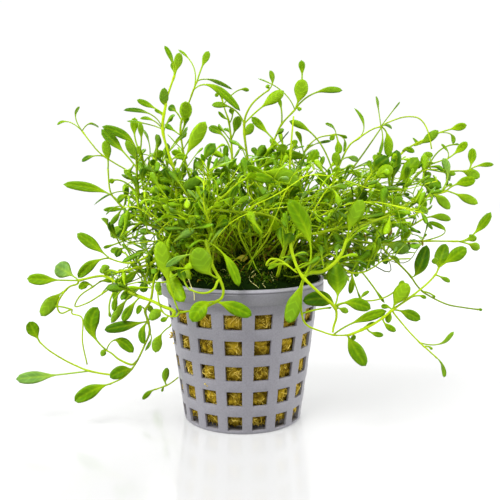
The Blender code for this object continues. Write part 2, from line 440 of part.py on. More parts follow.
          [(34, 60.5, -2), (44, 59.8, 0), (61, 60.5, 2), (73.4, 60.4, 2)],
          [(4, (78.4, 62.8), (84.1, 70.4, 4), 7.5, 3.1, 0),
           (4, (76.9, 60.9), (78.7, 62.6, 0), 3.6, 3.0, 0),
           (4, (77.2, 59.4), (80.8, 57.8, 4), 5, 2.9, 0),
           (3, (68.7, 63.6), (63, 67.1, 4), 7, 2.2, 35),
           (3, (61.6, 61.9), (62.5, 63, 1), 1.6, 0.9, 0),
           (2.6, (54.5, 62), (57, 64.5, 0), 4.5, 2.8, 0)]),

    # Shoots over the middle of the pot
    shoot("shoot_over_moss", 1.2, (-7, -13),
          [(-11.5, 65, -19), (-11, 71, -20), (-4.8, 77, -22), (-1.5, 80, -23)],
          [(4, (3.6, 82.2), (9.8, 81, -26), 7.5, 3.1, 0),
           (4, (8.5, 83.8), (19.3, 79.3, -19), 12, 5.0, 0),
           (2, (-13.8, 74.4), (-13.2, 79.3, -17), 5.5, 3.5, 0),
           (1.2, (-15.6, 67.9), (-20.5, 66.8, -18), 5, 2.4, 20)]),
    shoot("runner_over_moss", 0.9, None,
          [(-10.2, 71.4, -23), (-5, 70.8, -23), (1, 70.4, -24), (6, 70, -25), (10.5, 68.7, -26),
           (13.6, 66.2, -27), (15, 62.6, -28.5)],
          [(3, (3.4, 67), (6.8, 62.8, -26), 5, 2.3, 0),
           (2, (-1.5, 73.6), (2.2, 75.7, -24), 5, 1.8, 0),
           (4, (8.5, 73.2), (9.3, 76.5, -23), 5, 3.0, 0)]),
    shoot("shoot_moss_edge", 0.8, None,
          [(8.3, 52.3, -28), (9.5, 54.4, -28.5), (12.5, 54.1, -29), (15.2, 52.4, -30),
           (18.6, 49.7, -31.5)],
          [(4, (12, 52.6), (8.6, 51, -29), 4, 1.3, 0)]),

    # Shoots at the back of the pot
    shoot("shoot_back_left", 0.9, (-9, 14),
          [(-17, 61, 24), (-25, 67, 34), (-31, 69, 42), (-36, 66, 50)],
          [(4, (-40, 65.6), (-44.5, 62, 56), 8, 4.0, 10),
           (3, (-32.5, 73), (-33, 77.5, 44), 6.5, 3.6, 20),
           (2, (-22, 70.5), (-24.5, 74, 30), 6, 3.4, 30),
           (4, (-33.5, 62.5), (-34, 58.5, 53), 6, 3.4, 20)]),
    shoot("shoot_back_middle", 1.0, (-2, 17),
          [(-4, 62, 28), (-8, 70, 38), (-11, 73.5, 48), (-12, 71, 57)],
          [(4, (-13, 68), (-15.5, 63.5, 62), 7.5, 4.0, 15),
           (4, (-9, 71.5), (-5, 69, 63), 7.5, 3.8, 25),
           (3, (-14.5, 76), (-18, 78, 50), 7, 3.8, 25),
           (2, (-5, 74.5), (-3.5, 79.5, 40), 7, 3.6, 10),
           (1, (-7, 65.5), (-10.5, 66, 30), 6, 3.2, 30)]),
    shoot("shoot_back_right", 0.9, (9, 15),
          [(14, 62, 26), (20, 69, 35), (27, 72, 42), (33, 69.5, 50)],
          [(4, (37, 68), (41, 64, 55), 8, 4.0, 15),
           (3, (29, 75.5), (31.5, 79, 40), 6.5, 3.6, 15),
           (2, (17.5, 73), (16, 77.5, 36), 7, 3.6, 25),
           (4, (31.5, 66), (30.5, 61.5, 54), 6.5, 3.6, 25)]),
    shoot("shoot_back_hanging", 0.9, (3, 19),
          [(7, 55, 31), (9.5, 50, 38), (10, 41, 41), (8.5, 33, 42)],
          [(4, (6.5, 28), (6, 22, 43), 9, 4.4, 10),
           (3, (13.5, 38.5), (15.5, 33, 44), 8, 4.0, 20),
           (2, (5, 47), (2, 42.5, 42), 7.5, 3.8, 20),
           (4, (11, 31), (15, 28.5, 40), 6, 3.4, 30)]),
    shoot("shoot_back_low", 0.8, (-11, 16),
          [(-17, 54, 27), (-20.5, 47, 33), (-21.5, 38, 36), (-25, 31, 37)],
          [(4, (-28.5, 27.5), (-30, 22, 38), 8, 4.2, 10),
           (3, (-18.5, 34.5), (-16, 29.5, 38), 7.5, 3.8, 20),
           (2, (-25.5, 45), (-29, 42.5, 36), 7, 3.4, 20)]),
]


# Leafy shoots inside the growth, between the others
INNER_SHOOTS = [
    shoot("shoot_inner_left", 1.0, (-13, 7),
          [(-21, 62, 9), (-28, 70, 13), (-32, 80, 14), (-31, 91, 12)], []),
    shoot("shoot_inner_middle_left", 1.0, (-5, 2),
          [(-8, 66, -6), (-12, 76, -9), (-9, 86, -8), (-11, 96, -5)], []),
    shoot("shoot_inner_middle", 1.0, (3, 11), [(4, 66, 14), (9, 76, 19), (12, 86, 19), (9, 95, 15)], []),
    shoot("shoot_inner_right", 1.0, (12, -6),
          [(22, 64, -9), (30, 72, -13), (38, 80, -13), (43, 88, -9)], []),
    shoot("shoot_inner_far_right", 1.0, (15, 9),
          [(28, 64, 17), (42, 70, 23), (54, 78, 23), (63, 86, 17)], []),
]


def seen(across, up, depth):
    """The real place, in millimetres, of a point seen at (across, up) in the middle plane."""
    in_plane = Vector((across, 0.0, up))
    reach = (depth - SIGHT_POINT.y) / (in_plane.y - SIGHT_POINT.y)
    return SIGHT_POINT + (in_plane - SIGHT_POINT) * reach


def clear_scene():
    """Remove every object the file opened with."""
    for thing in list(bpy.data.objects):
        bpy.data.objects.remove(thing, do_unlink=True)


def surface(name, colour, roughness):
    """A plain Principled material."""
    material = bpy.data.materials.new(name)
    material.use_nodes = True
    shader = material.node_tree.nodes["Principled BSDF"]
    shader.inputs["Base Color"].default_value = (*colour, 1.0)
    shader.inputs["Roughness"].default_value = roughness
    return material


def add_object(name, data, collection, material=None):
    """Put mesh or curve data into the scene as a named object."""
    thing = bpy.data.objects.new(name, data)
    collection.objects.link(thing)
    if material is not None:
        data.materials.append(material)
    return thing


def mesh_from(bm, name):
    """Close a bmesh into mesh data, in metres."""
    bmesh.ops.scale(bm, vec=(MM, MM, MM), verts=bm.verts)
    mesh = bpy.data.meshes.new(name)
    bm.to_mesh(mesh)
    bm.free()
    return mesh


def around(radius, height, angle):
    """A point on the pot, with the angle counted from the front (-Y) towards +X."""
    return Vector((radius * math.sin(angle), -radius * math.cos(angle), height))


def wall_radius(height):
    """Outer radius of the pot's tapering wall at a height."""
    share = height / (POT_HEIGHT - COLLAR_HEIGHT)
    return BASE_RADIUS + (WALL_TOP_RADIUS - BASE_RADIUS) * share


def pot_rings():
    """The pot's outer profile as (radius, height, what fills the band above it)."""
    rings = [(BASE_SLOT_INNER_RADIUS, 0.0, "slots"), (BASE_SLOT_OUTER_RADIUS, 0.0, "solid")]
    rings.append((BASE_RADIUS, 0.0, "solid"))
    for row in reversed(range(HOLE_ROWS)):
        upper = TOP_ROW_UPPER_EDGE - row * HOLE_ROW_PITCH
        rings.append((wall_radius(upper - HOLE_HEIGHT), upper - HOLE_HEIGHT, "holes"))
        rings.append((wall_radius(upper), upper, "solid"))
    ledge = POT_HEIGHT - COLLAR_HEIGHT
    rings.append((WALL_TOP_RADIUS, ledge, "solid"))
    rings.append((RIM_RADIUS, ledge, "solid"))
    rings.append((RIM_RADIUS, POT_HEIGHT, "end"))
    return rings


def build_pot(collection, material):
    """The moulded net pot: one lattice sheet, from the underside to the rim, given a thickness."""
    angles = []
    for column in range(HOLE_COLUMNS):
        middle = FIRST_COLUMN_ANGLE + column * math.tau / HOLE_COLUMNS
        angles += [middle - HOLE_HALF_ANGLE, middle + HOLE_HALF_ANGLE]
    bm = bmesh.new()
    centre = bm.verts.new((0.0, 0.0, 0.0))
    rings = pot_rings()
    rows = []
    for radius, height, _ in rings:
        rows.append([bm.verts.new(around(radius, height, angle)) for angle in angles])
    count = len(angles)
    for i in range(count):
        bm.faces.new((centre, rows[0][(i + 1) % count], rows[0][i]))
    for band, (_, _, filling) in enumerate(rings[:-1]):
        for i in range(count):
            hole_column = i % 2 == 0
            if filling == "holes" and hole_column:
                continue
            if filling == "slots" and i % 4 == 0:
                continue
            after = (i + 1) % count
            bm.faces.new((rows[band][i], rows[band][after], rows[band + 1][after], rows[band + 1][i]))
    bmesh.ops.recalc_face_normals(bm, faces=bm.faces)
    pot = add_object("net_pot", mesh_from(bm, "net_pot"), collection, material)
    wall = pot.modifiers.new("Wall", "SOLIDIFY")
    wall.thickness = WALL_THICKNESS * MM
    wall.offset = -1.0
    wall.use_even_offset = True
    return pot


def build_plug(collection, material):
    """The rockwool plug: a turned profile that follows the pot's inside."""
    inner = WALL_THICKNESS + PLUG_CLEARANCE
    ledge = POT_HEIGHT - COLLAR_HEIGHT
    profile = [
        (0.0, PLUG_TOP),
        (WALL_TOP_RADIUS - inner, PLUG_TOP),
        (wall_radius(ledge) - inner, ledge - 1.0),
        (wall_radius(PLUG_SHOULDER_HEIGHT) - inner, PLUG_SHOULDER_HEIGHT),
        (PLUG_FOOT_RADIUS, PLUG_BOTTOM),
        (0.0, PLUG_BOTTOM),
    ]
    bm = bmesh.new()
    corners = [bm.verts.new((radius, 0.0, height)) for radius, height in profile]
    for upper, lower in zip(corners, corners[1:]):
        bm.edges.new((upper, lower))
    plug = add_object("rockwool_plug", mesh_from(bm, "rockwool_plug"), collection, material)
    turn = plug.modifiers.new("Turn", "SCREW")
    turn.axis = "Z"
    turn.steps = PLUG_SIDES
    turn.render_steps = PLUG_SIDES
    turn.use_merge_vertices = True
    turn.merge_threshold = 0.00001
    return plug


def build_moss(collection, material):
    """The moss mound: a low lumpy dome with a flat underside."""
    bm = bmesh.new()
    bmesh.ops.create_icosphere(bm, subdivisions=3, radius=1.0)
    for vert in bm.verts:
        direction = vert.co.copy()
        flat = Vector((direction.x, direction.y, 0.0))
        lump = noise.noise(direction * 2.6) * MOSS_LUMP
        rise = 0.0
        if direction.z > 0.0:
            rise = MOSS_RIM_HEIGHT + MOSS_DOME_HEIGHT * direction.z ** 1.3 + lump * direction.z
        vert.co = Vector((flat.x * MOSS_RADIUS, flat.y * MOSS_RADIUS, MOSS_BOTTOM + rise))
    return add_object("moss_mound", mesh_from(bm, "moss_mound"), collection, material)


def evaluated_mesh(thing):
    """A real mesh of what an object evaluates to."""
    depsgraph = bpy.context.evaluated_depsgraph_get()
    return bpy.data.meshes.new_from_object(thing.evaluated_get(depsgraph))


def tree_of(mesh, swell=0.0):
    """A search tree of a mesh in metres, with its surface moved out by swell millimetres."""
    points = [vert.co + vert.normal * swell * MM for vert in mesh.vertices]
    return BVHTree.FromPolygons(points, [list(face.vertices) for face in mesh.polygons])


def moss_point(across, depth, towards, thickness, moss_tree):
    """The point where a stem's end just clears the moss on its way towards the next point."""
    above = Vector((across * MM, depth * MM, 0.1))
    place, normal = moss_tree.ray_cast(above, Vector((0.0, 0.0, -1.0)))[:2]
    place = place / MM
    leaning = normal.dot((towards - place).normalized())
    reach = thickness / 2.0 * math.sqrt(max(1.0 - leaning * leaning, 0.0))
    return place + normal * (1.3 * TOUCHING_GAP + reach)


def stem_points(plan, attempt, moss_tree):
    """The stem's route in real millimetres. A rooted stem starts at the moss."""
    shift = depth_shift(attempt)
    points = [seen(across, up, depth + shift) for across, up, depth in plan.route]
    if plan.root is not None:
        away = ROOT_STEP * attempt
        across = plan.root[0] + away * math.cos(GOLDEN_ANGLE * attempt)
        depth = plan.root[1] + away * math.sin(GOLDEN_ANGLE * attempt)
        points.insert(0, moss_point(across, depth, points[0], plan.thickness * STEM_FULLNESS, moss_tree))
    return points


def depth_shift(attempt):
    """How much farther (+) or nearer (-) a shoot lies on its nth attempt."""
    side = 1.0 if attempt % 2 else -1.0
    return side * math.ceil(attempt / 2.0) * CLEARANCE_STEP


def tube_rings(bm, route, radius, sides, twist):
    """Build a closed tube that thins towards its end, and return its rings of corners."""
    side = None
    rings = []
    last = len(route) - 1
    for i, point in enumerate(route):
        along = (route[min(i + 1, last)] - route[max(i - 1, 0)]).normalized()
        if side is None:
            side = along.orthogonal()
        side = (side - along * side.dot(along)).normalized()
        thin = radius * (1.0 + (STEM_TIP_SHARE - 1.0) * i / last)
        turns = [Matrix.Rotation(twist + math.tau * k / sides, 3, along) for k in range(sides)]
        rings.append([bm.verts.new(point + turn @ side * thin) for turn in turns])
    for low, high in zip(rings, rings[1:]):
        for i in range(sides):
            after = (i + 1) % sides
            bm.faces.new((low[i], low[after], high[after], high[i]))
    bm.faces.new(list(reversed(rings[0])))
    bm.faces.new(rings[-1])
    return rings


def stem_mesh(plan, points, twist):
    """The stem on its own."""
    bm = bmesh.new()
    tube_rings(bm, points, plan.thickness / 2.0 * STEM_FULLNESS, STEM_SIDES, twist)
    return mesh_from(bm, "stem")


def place_on_stem(points, place):
    """The point at a place along the route, where whole places are the route's own points."""
    start = min(int(place), len(points) - 2)
    return points[start].lerp(points[start + 1], place - start)


def spine_point(base, middle, tip, share):
    """The curve through a leaf's base, middle and tip."""
    from_base = (1.0 - share) * (1.0 - 2.0 * share)
    from_middle = 4.0 * share * (1.0 - share)
    from_tip = share * (2.0 * share - 1.0)
    return base * from_base + middle * from_middle + tip * from_tip


def blade_sections(leaf, length):
    """Where a leaf's sections lie along its spine, and how wide each one is."""
    start = max(1.0 - leaf.blade / length, min(LEAST_STALK / length, 0.4))
    along = 1.0 - start
    sections = [(0.0, FOOT_WIDTH), (start, PETIOLE_WIDTH)]
    if leaf.width > SMALL_LEAF_WIDTH:
        sections.append((start + along * 0.38, leaf.width * 0.86))
        sections.append((start + along * 0.74, leaf.width * 0.94))
    else:
        sections.append((start + along * 0.55, leaf.width))
    return sections


def add_leaf(bm, leaf, base, shift):
    """A leaf with its stalk, lofted over three-cornered sections to a pointed tip."""
    base_depth = base.y
    tip = seen(leaf.tip[0], leaf.tip[1], leaf.tip[2] + shift)
    middle = seen(leaf.middle[0], leaf.middle[1], (base_depth + tip.y) / 2.0)
    length = (middle - base).length + (tip - middle).length
    rings = []
    side = None
    for share, width in reversed(blade_sections(leaf, length)):
        point = spine_point(base, middle, tip, share)
        ahead = spine_point(base, middle, tip, share + 0.02)
        along = (ahead - point).normalized()
        if side is None:
            side = along.cross((point - SIGHT_POINT).normalized())
            side = Matrix.Rotation(math.radians(leaf.turn), 3, along) @ side
        side = (side - along * side.dot(along)).normalized()
        below = along.cross(side).normalized()
        half = side * width / 2.0
        keel = below * min(LEAF_THICKNESS, width)
        rings.append([bm.verts.new(point - half - keel / 2.0), bm.verts.new(point + half - keel / 2.0),
                      bm.verts.new(point + keel / 2.0)])
    rings.reverse()
    end = bm.verts.new(tip)
    faces = [bm.faces.new(rings[0])]
    for ring, following in zip(rings, rings[1:]):
        for i in range(3):
            after = (i + 1) % 3
            faces.append(bm.faces.new((ring[i], ring[after], following[after], following[i])))
    for i in range(3):
        faces.append(bm.faces.new((rings[-1][i], rings[-1][(i + 1) % 3], end)))
    bmesh.ops.recalc_face_normals(bm, faces=faces)


def leaves_mesh(plan, points, shift):
    """All of a shoot's leaves, as one mesh."""
    offset = 0 if plan.root is not None else -1
    bm = bmesh.new()
    crowded = {}
    for leaf in plan.leaves:
        if leaf.width < LEAST_LEAF_WIDTH:
            continue
        place = min(leaf.where + offset, len(points) - 1.02)
        behind = crowded.get(place, 0)
        crowded[place] = behind + 1
        span = (points[int(place)] - points[int(place) + 1]).length
        base = place_on_stem(points, max(place - behind * FOOT_STEP / span, 0.0))
        add_leaf(bm, leaf, base, shift)
    return mesh_from(bm, "leaves")


def is_one_body(bm):
    """Whether every face can be reached from the first one across edges."""
    bm.faces.ensure_lookup_table()
    reached = {bm.faces[0]}
    waiting = [bm.faces[0]]
    while waiting:
        for edge in waiting.pop().edges:
            for face in edge.link_faces:
                if face not in reached:
                    reached.add(face)
                    waiting.append(face)
    return len(reached) == len(bm.faces)


def measures(mesh):
    """A mesh's volume, and the length of its shortest edge."""
    bm = bmesh.new()
    bm.from_mesh(mesh)
    found = bm.calc_volume(), min(edge.calc_length() for edge in bm.edges)
    bm.free()
    return found


def crossings(mesh):
    """How many pairs of faces meet without sharing a corner, or None if it isn't one closed body."""
    bm = bmesh.new()
    bm.from_mesh(mesh)
    whole = all(edge.is_manifold for edge in bm.edges) and is_one_body(bm)
    tree = BVHTree.FromBMesh(bm)
    corners = [{vert.index for vert in face.verts} for face in bm.faces]
    bm.free()
    if not whole:
        return None
    return sum(1 for a, b in tree.overlap(tree) if not corners[a] & corners[b])


def thinned_mesh(thing, whole):
    """The object's mesh with as few faces as leave it closed and no more crossed than it is."""
    allowed = crossings(whole)
    least = measures(whole)[0] * KEPT_VOLUME
    for share in KEPT_SHARES:
        thin = thing.modifiers.new("Thin", "DECIMATE")
        thin.ratio = share
        mesh = evaluated_mesh(thing)
        thing.modifiers.remove(thin)
        found = crossings(mesh)
        volume, shortest = measures(mesh)
        if found is not None and found <= allowed and volume > least and shortest > LEAST_EDGE * MM:
            return mesh
    return whole


def joined_mesh(stem, leaves, cutters):
    """A stem with its leaves grown onto it, as one mesh, or None if that leaves an open edge."""
    grown = add_object("grown", stem, cutters)
    guide = add_object("leaves", leaves, cutters)
    union = grown.modifiers.new("Grow", "BOOLEAN")
    union.operation = "UNION"
    union.solver = "EXACT"
    union.use_self = True
    union.object = guide
    flat = grown.modifiers.new("Flat", "DECIMATE")
    flat.decimate_type = "DISSOLVE"
    flat.angle_limit = FLAT_ANGLE
    mesh = evaluated_mesh(grown)
    if crossings(mesh) is None:
        mesh = None
    else:
        mesh = thinned_mesh(grown, mesh)
    bpy.data.objects.remove(grown, do_unlink=True)
    bpy.data.objects.remove(guide, do_unlink=True)
    return mesh


def shoot_mesh(plan, points, leaves, cutters):
    """The shoot as one body. Its stem is turned about itself until the leaves join it cleanly."""
    if not leaves.vertices:
        return stem_mesh(plan, points, 0.0)
    for twist in STEM_TWISTS:
        mesh = joined_mesh(stem_mesh(plan, points, twist), leaves, cutters)
        if mesh is not None:
            return mesh
    print("no clean union for", plan.name)
    return stem_mesh(plan, points, 0.0)


def is_clear(meshes, trees):
    """Whether none of the meshes, with a gap around it, meets what is already there."""
    own = [tree_of(mesh, TOUCHING_GAP) for mesh in meshes]
    return not any(mine.overlap(other) for mine in own for other in trees)


def build_shoots(collection, cutters, material, trees, moss_tree):
    """Every shoot in turn. One that would cross what is already there leans nearer or farther."""
    for plan in SHOOTS:
        for attempt in range(CLEARANCE_TRIES):
            points = stem_points(plan, attempt, moss_tree)
            leaves = leaves_mesh(plan, points, depth_shift(attempt))
            if is_clear([stem_mesh(plan, points, 0.0), leaves], trees):
                break
        else:
            print("no clear place for", plan.name)
        mesh = shoot_mesh(plan, points, leaves, cutters)
        add_object(plan.name, mesh, collection, material)
        trees.append(tree_of(mesh))


def point_along(points, reach):
    """The point this far along a route."""
    for start, end in zip(points, points[1:]):
        length = (end - start).length
        if reach <= length:
            return start.lerp(end, reach / length)
        reach -= length
    return points[-1]


def whorl_route(points):
    """A route with a ring below and a ring above each whorl of leaves."""
    total = sum((end - start).length for start, end in zip(points, points[1:]))
    route = [points[0]]
    distance = FIRST_WHORL
    while distance < total - FOOT_LENGTH:
        route += [point_along(points, distance), point_along(points, distance + FOOT_LENGTH)]
        distance += WHORL_STEP
    return route + [points[-1]]


def inner_leaf(foot, heading, length, along):
    """The widest section and the tip of a leaf that is drawn out of a stem's four-cornered face."""
    middle = sum(foot, Vector()) / 4.0
    across = (along - heading * along.dot(heading)).normalized()
    thick = heading.cross(across)
    widest = middle + heading * length * INNER_WIDEST
    section = []
    for corner in foot:
        offset = corner - middle
        side = math.copysign(INNER_LEAF_WIDTH / 2.0, offset.dot(across))
        face = math.copysign(LEAF_THICKNESS / 2.0, offset.dot(thick))
        section.append(widest + across * side + thick * face)
    return section, middle + heading * length


def inner_leaf_trees(foot, section, tip):
    """Search trees of such a leaf's stalk, and of its blade with a gap around it."""
    stalk = BVHTree.FromPolygons([point * MM for point in foot + section], STALK_FACES)
    centre = sum(section, Vector()) / 4.0
    grown = [point + (point - centre).normalized() * TOUCHING_GAP for point in section + [tip]]
    return stalk, BVHTree.FromPolygons([point * MM for point in grown], BLADE_FACES)


def grow_inner_leaf(bm, foot, along, chance, trees, blades):
    """Draw one side face of a stem out into a leaf, if some heading leaves room for it."""
    corners = [vert.co.copy() for vert in foot]
    outward = (corners[1] - corners[0]).cross(corners[3] - corners[0]).normalized()
    for _ in range(INNER_LEAF_TRIES):
        bend = Vector([chance.uniform(-LEAF_BEND, LEAF_BEND) for _ in range(3)])
        heading = (outward + along * chance.uniform(*LEAF_RISE) + bend).normalized()
        section, tip = inner_leaf(corners, heading, chance.uniform(*INNER_LEAF_LENGTHS), along)
        stalk, blade = inner_leaf_trees(corners, section, tip)
        if any(stalk.overlap(other) or blade.overlap(other) for other in trees + blades):
            continue
        bm.faces.remove(bm.faces.get(foot))
        widest = [bm.verts.new(point) for point in section]
        end = bm.verts.new(tip)
        for i in range(4):
            after = (i + 1) % 4
            bm.faces.new((foot[i], foot[after], widest[after], widest[i]))
            bm.faces.new((widest[i], widest[after], end))
        blades.append(blade)
        return


def build_inner_shoots(collection, material, trees, moss_tree):
    """The shoots inside the growth, whose leaves are drawn out of their stems' side faces."""
    chance = random.Random(INNER_SEED)
    for plan in INNER_SHOOTS:
        for attempt in range(CLEARANCE_TRIES):
            route = whorl_route(stem_points(plan, attempt, moss_tree))
            bm = bmesh.new()
            rings = tube_rings(bm, route, plan.thickness / 2.0, INNER_SIDES, 0.0)
            if is_clear([mesh_from(bm.copy(), "stem")], trees):
                break
        else:
            print("no clear place for", plan.name)
        blades = []
        for low, high in zip(rings[1::2], rings[2::2]):
            along = (high[0].co - low[0].co).normalized()
            for i in range(INNER_SIDES):
                after = (i + 1) % INNER_SIDES
                foot = (low[i], low[after], high[after], high[i])
                grow_inner_leaf(bm, foot, along, chance, trees, blades)
        mesh = mesh_from(bm, plan.name)
        add_object(plan.name, mesh, collection, material)
        trees.append(tree_of(mesh))


def main():
    """Build the potted plant."""
    clear_scene()
    collection = bpy.data.collections.new(COLLECTION_NAME)
    cutters = bpy.data.collections.new("cutters")
    bpy.context.scene.collection.children.link(collection)
    bpy.context.scene.collection.children.link(cutters)
    plastic = surface("grey plastic", (0.31, 0.31, 0.34), 0.45)
    wool = surface("rockwool", (0.36, 0.25, 0.06), 0.95)
    moss = surface("moss", (0.03, 0.06, 0.01), 0.9)
    green = surface("leaf green", (0.17, 0.40, 0.01), 0.4)
    pot = build_pot(collection, plastic)
    plug = build_plug(collection, wool)
    mound = build_moss(collection, moss)
    moss_tree = tree_of(evaluated_mesh(mound))
    trees = [tree_of(evaluated_mesh(pot)), tree_of(evaluated_mesh(plug)), moss_tree]
    build_shoots(collection, cutters, green, trees, moss_tree)
    build_inner_shoots(collection, green, trees, moss_tree)
    bpy.data.collections.remove(cutters)


main()
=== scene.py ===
"""The looks of a potted foreground plant for aquariums.

Lengths are millimetres until a mesh is made. The origin is the middle of the pot's underside, +Z
is up and the plant is looked at from -Y, as in the solids.
"""
import math
from collections import namedtuple

import bmesh
import bpy
import numpy as np
from mathutils import Matrix, Vector, noise


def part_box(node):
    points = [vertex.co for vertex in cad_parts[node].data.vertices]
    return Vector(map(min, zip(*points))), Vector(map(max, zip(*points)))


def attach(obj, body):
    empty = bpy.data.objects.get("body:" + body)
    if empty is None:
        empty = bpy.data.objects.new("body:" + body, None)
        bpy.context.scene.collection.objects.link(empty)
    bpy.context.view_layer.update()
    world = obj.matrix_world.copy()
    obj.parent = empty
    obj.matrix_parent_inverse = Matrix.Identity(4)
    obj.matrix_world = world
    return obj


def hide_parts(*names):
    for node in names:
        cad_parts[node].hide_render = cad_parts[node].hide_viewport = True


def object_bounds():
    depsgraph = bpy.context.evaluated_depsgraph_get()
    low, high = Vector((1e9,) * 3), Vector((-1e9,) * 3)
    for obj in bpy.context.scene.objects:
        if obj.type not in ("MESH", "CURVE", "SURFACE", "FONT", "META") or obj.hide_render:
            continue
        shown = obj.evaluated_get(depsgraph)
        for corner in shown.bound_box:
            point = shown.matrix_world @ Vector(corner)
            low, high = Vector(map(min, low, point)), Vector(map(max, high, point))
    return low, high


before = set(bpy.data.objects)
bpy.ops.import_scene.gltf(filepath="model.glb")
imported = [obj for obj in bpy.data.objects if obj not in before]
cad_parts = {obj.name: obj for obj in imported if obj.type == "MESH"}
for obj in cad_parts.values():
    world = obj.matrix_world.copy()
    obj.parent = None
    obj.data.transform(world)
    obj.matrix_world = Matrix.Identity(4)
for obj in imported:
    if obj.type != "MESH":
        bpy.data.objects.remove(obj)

MM = 0.001
CAD_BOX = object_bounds()
UP = Vector((0.0, 0.0, 1.0))

# Camera, and the point that the table's places are seen from
CAMERA_PLACE = Vector((-0.94, -258.5, 90.2))
CAMERA_PITCH = 0.1256
CAMERA_YAW = 0.0134
CAMERA_LENS = 55.33
SIGHT_POINT = Vector((-0.9, -258.5, 90.2))

# Softboxes: place, target, size and power
SOFTBOXES = {"key light": ((-0.30, -0.45, 0.80), (0.0, 0.0, 0.06), 0.45, 12.0),
             "left light": ((-0.70, -0.02, 0.22), (0.0, 0.0, 0.04), 0.4, 3.2),
             "right light": ((0.70, -0.06, 0.26), (0.0, 0.0, 0.04), 0.4, 4.6),
             "rim light": ((0.1, 0.6, 0.6), (0.0, 0.0, 0.08), 0.5, 7.0)}
FLOOR_REACH = 3.0

# Net pot
POT_HEIGHT = 48.5
BASE_RADIUS = 20.0
RIM_RADIUS = 27.5
WALL_TOP_RADIUS = 25.8
COLLAR_HEIGHT = 5.2
LEDGE_HEIGHT = POT_HEIGHT - COLLAR_HEIGHT
WALL_THICKNESS = 0.9
HOLE_COLUMNS = 16
HOLE_ROWS = 5
HOLE_HALF_ANGLE = math.radians(6.7)
HOLE_HEIGHT = 5.0
HOLE_ROW_PITCH = 8.55
TOP_ROW_UPPER_EDGE = 40.3
FIRST_COLUMN_ANGLE = math.radians(-7.4)
COLUMN_ANGLE = math.tau / HOLE_COLUMNS
HOLE_STEPS = 4
RIB_STEPS = 3
CENTRE_RADIUS = 2.0
BASE_SLOT_INNER_RADIUS = 7.0
BASE_SLOT_OUTER_RADIUS = 14.5
FOOT_INSET = 0.5
FOOT_RISE = 0.4
LEDGE_FILLET_WIDTH = 0.15
LEDGE_FILLET_DROP = 0.2
COLLAR_ROUNDING = 0.25
LIP_GROOVE = ((0.0, 1.5), (0.16, 1.35), (0.16, 1.15), (0.0, 1.0))
# Height of the lip's top band, which takes a painted highlight
LIP_HIGHLIGHT_HEIGHT = 0.9
EDGE_SOFTNESS = 0.14
ROUNDED_FROM = math.radians(40.0)
SHARP_FROM = math.radians(35.0)

# Rockwool and moss
PLUG_GAP = 1.9
PLUG_BOTTOM = 1.7
PLUG_FOOT_RADIUS = 16.6
PLUG_SHOULDER_HEIGHT = 4.2
PLUG_WIDEST_HEIGHT = 43.0
PLUG_TOP = 46.4
PLUG_SIDES = 240
PLUG_STEPS = 80
FIBRES = 7500
FIBRES_TOP = 41.5
TUFT_FIBRES = 80
MOSS_BOTTOM = 46.8
MOSS_RADIUS = 25.9
MOSS_RIM_HEIGHT = 1.2
MOSS_DOME_HEIGHT = 9.0
MOSS_LUMP = 1.1
MOSS_SIDES = 120
MOSS_STEPS = 40
MOSS_STRANDS = 8000
STRAND_RADII = [0.17, 0.14, 0.03]
STRAND_LENGTH = (0.8, 2.8)
FIBRE_RADIUS = (0.05, 0.13)
FIBRE_HALF_LENGTH = (0.5, 2.0)
TUFT_RADII = [0.16, 0.22, 0.08]
LOOSE_ROOTS = 16
ROOT_RADIUS = (0.05, 0.09)
MOSS_ROOT_RADIUS = 0.11
HANGING_ROOT_RADIUS = 0.14
ROOTS_ACROSS = (-16.0, 20.0)
ROOTS_RADIUS = 24.5
MOSS_EDGE_RADIUS = 25.0
MOSS_SEARCH_START = -25.0
MOSS_SEARCH_STEP = 0.25
MOSS_SEARCH_STEPS = 172
DEPTH_OFF_MOSS = -8.0

# Stems, and the steps by which the solids' search moved a shoot
STEM_TIP_SHARE = 0.6
LEAST_STEM_RADIUS = 0.25
JOINT_SWELLING = 0.35
JOINT_SHARPNESS = 6.0
STEM_SHADE_SHARE = (0.0, 0.75)
STEM_SIDES = 8
STEM_STEPS = 6
REACH_OF_JOINT = (0.3, 12.0)
CLEARANCE_STEP = 0.7
CLEARANCE_TRIES = 60
ROOT_STEP = 0.12
ROOT_DEPTH = 1.5
GOLDEN_ANGLE = math.radians(137.5)

# Leaves. The places are where the corners of a cross-section lie across it, on top and underneath
FINE_PLACES = ((-1.0, -0.62, -0.28, 0.0, 0.28, 0.62, 1.0), (0.55, 0.0, -0.55))
PLAIN_PLACES = ((-1.0, -0.45, 0.0, 0.45, 1.0), (0.0,))
LEAF_THICKNESS = 0.36
PETIOLE_WIDTH = 0.55
LEAST_STALK_SHARE = 0.06
WIDEST_PLACE = 0.6
FOOT_FULLNESS = 0.9
TIP_BLUNTNESS = 2.1
FLAT_SHARE = 0.8
STATION_EASE = 0.25
LAST_STATION = 0.992
LEAF_CUP = (-0.10, 0.25)
LEAF_WAVE = (0.02, 0.07)
WAVES_ALONG = 9.0
WAVES_ACROSS = 2.0
RIB_DEPTH = 0.14
RIB_PALER = 0.34
RIB_FADE = 0.6
GROOVE_DARKER = 0.16
# Share by which leaf margins are paled: a painted highlight along both edges
MARGIN_HIGHLIGHT = 0.16
MOTTLING = (-0.15, 0.22)
FAR_END_DARKER = 0.35
UNDERSIDE_PALER = 0.35
VEIN_COUNT = 5.0
VEIN_SLANT = 6.0
VEIN_PALER = 0.22

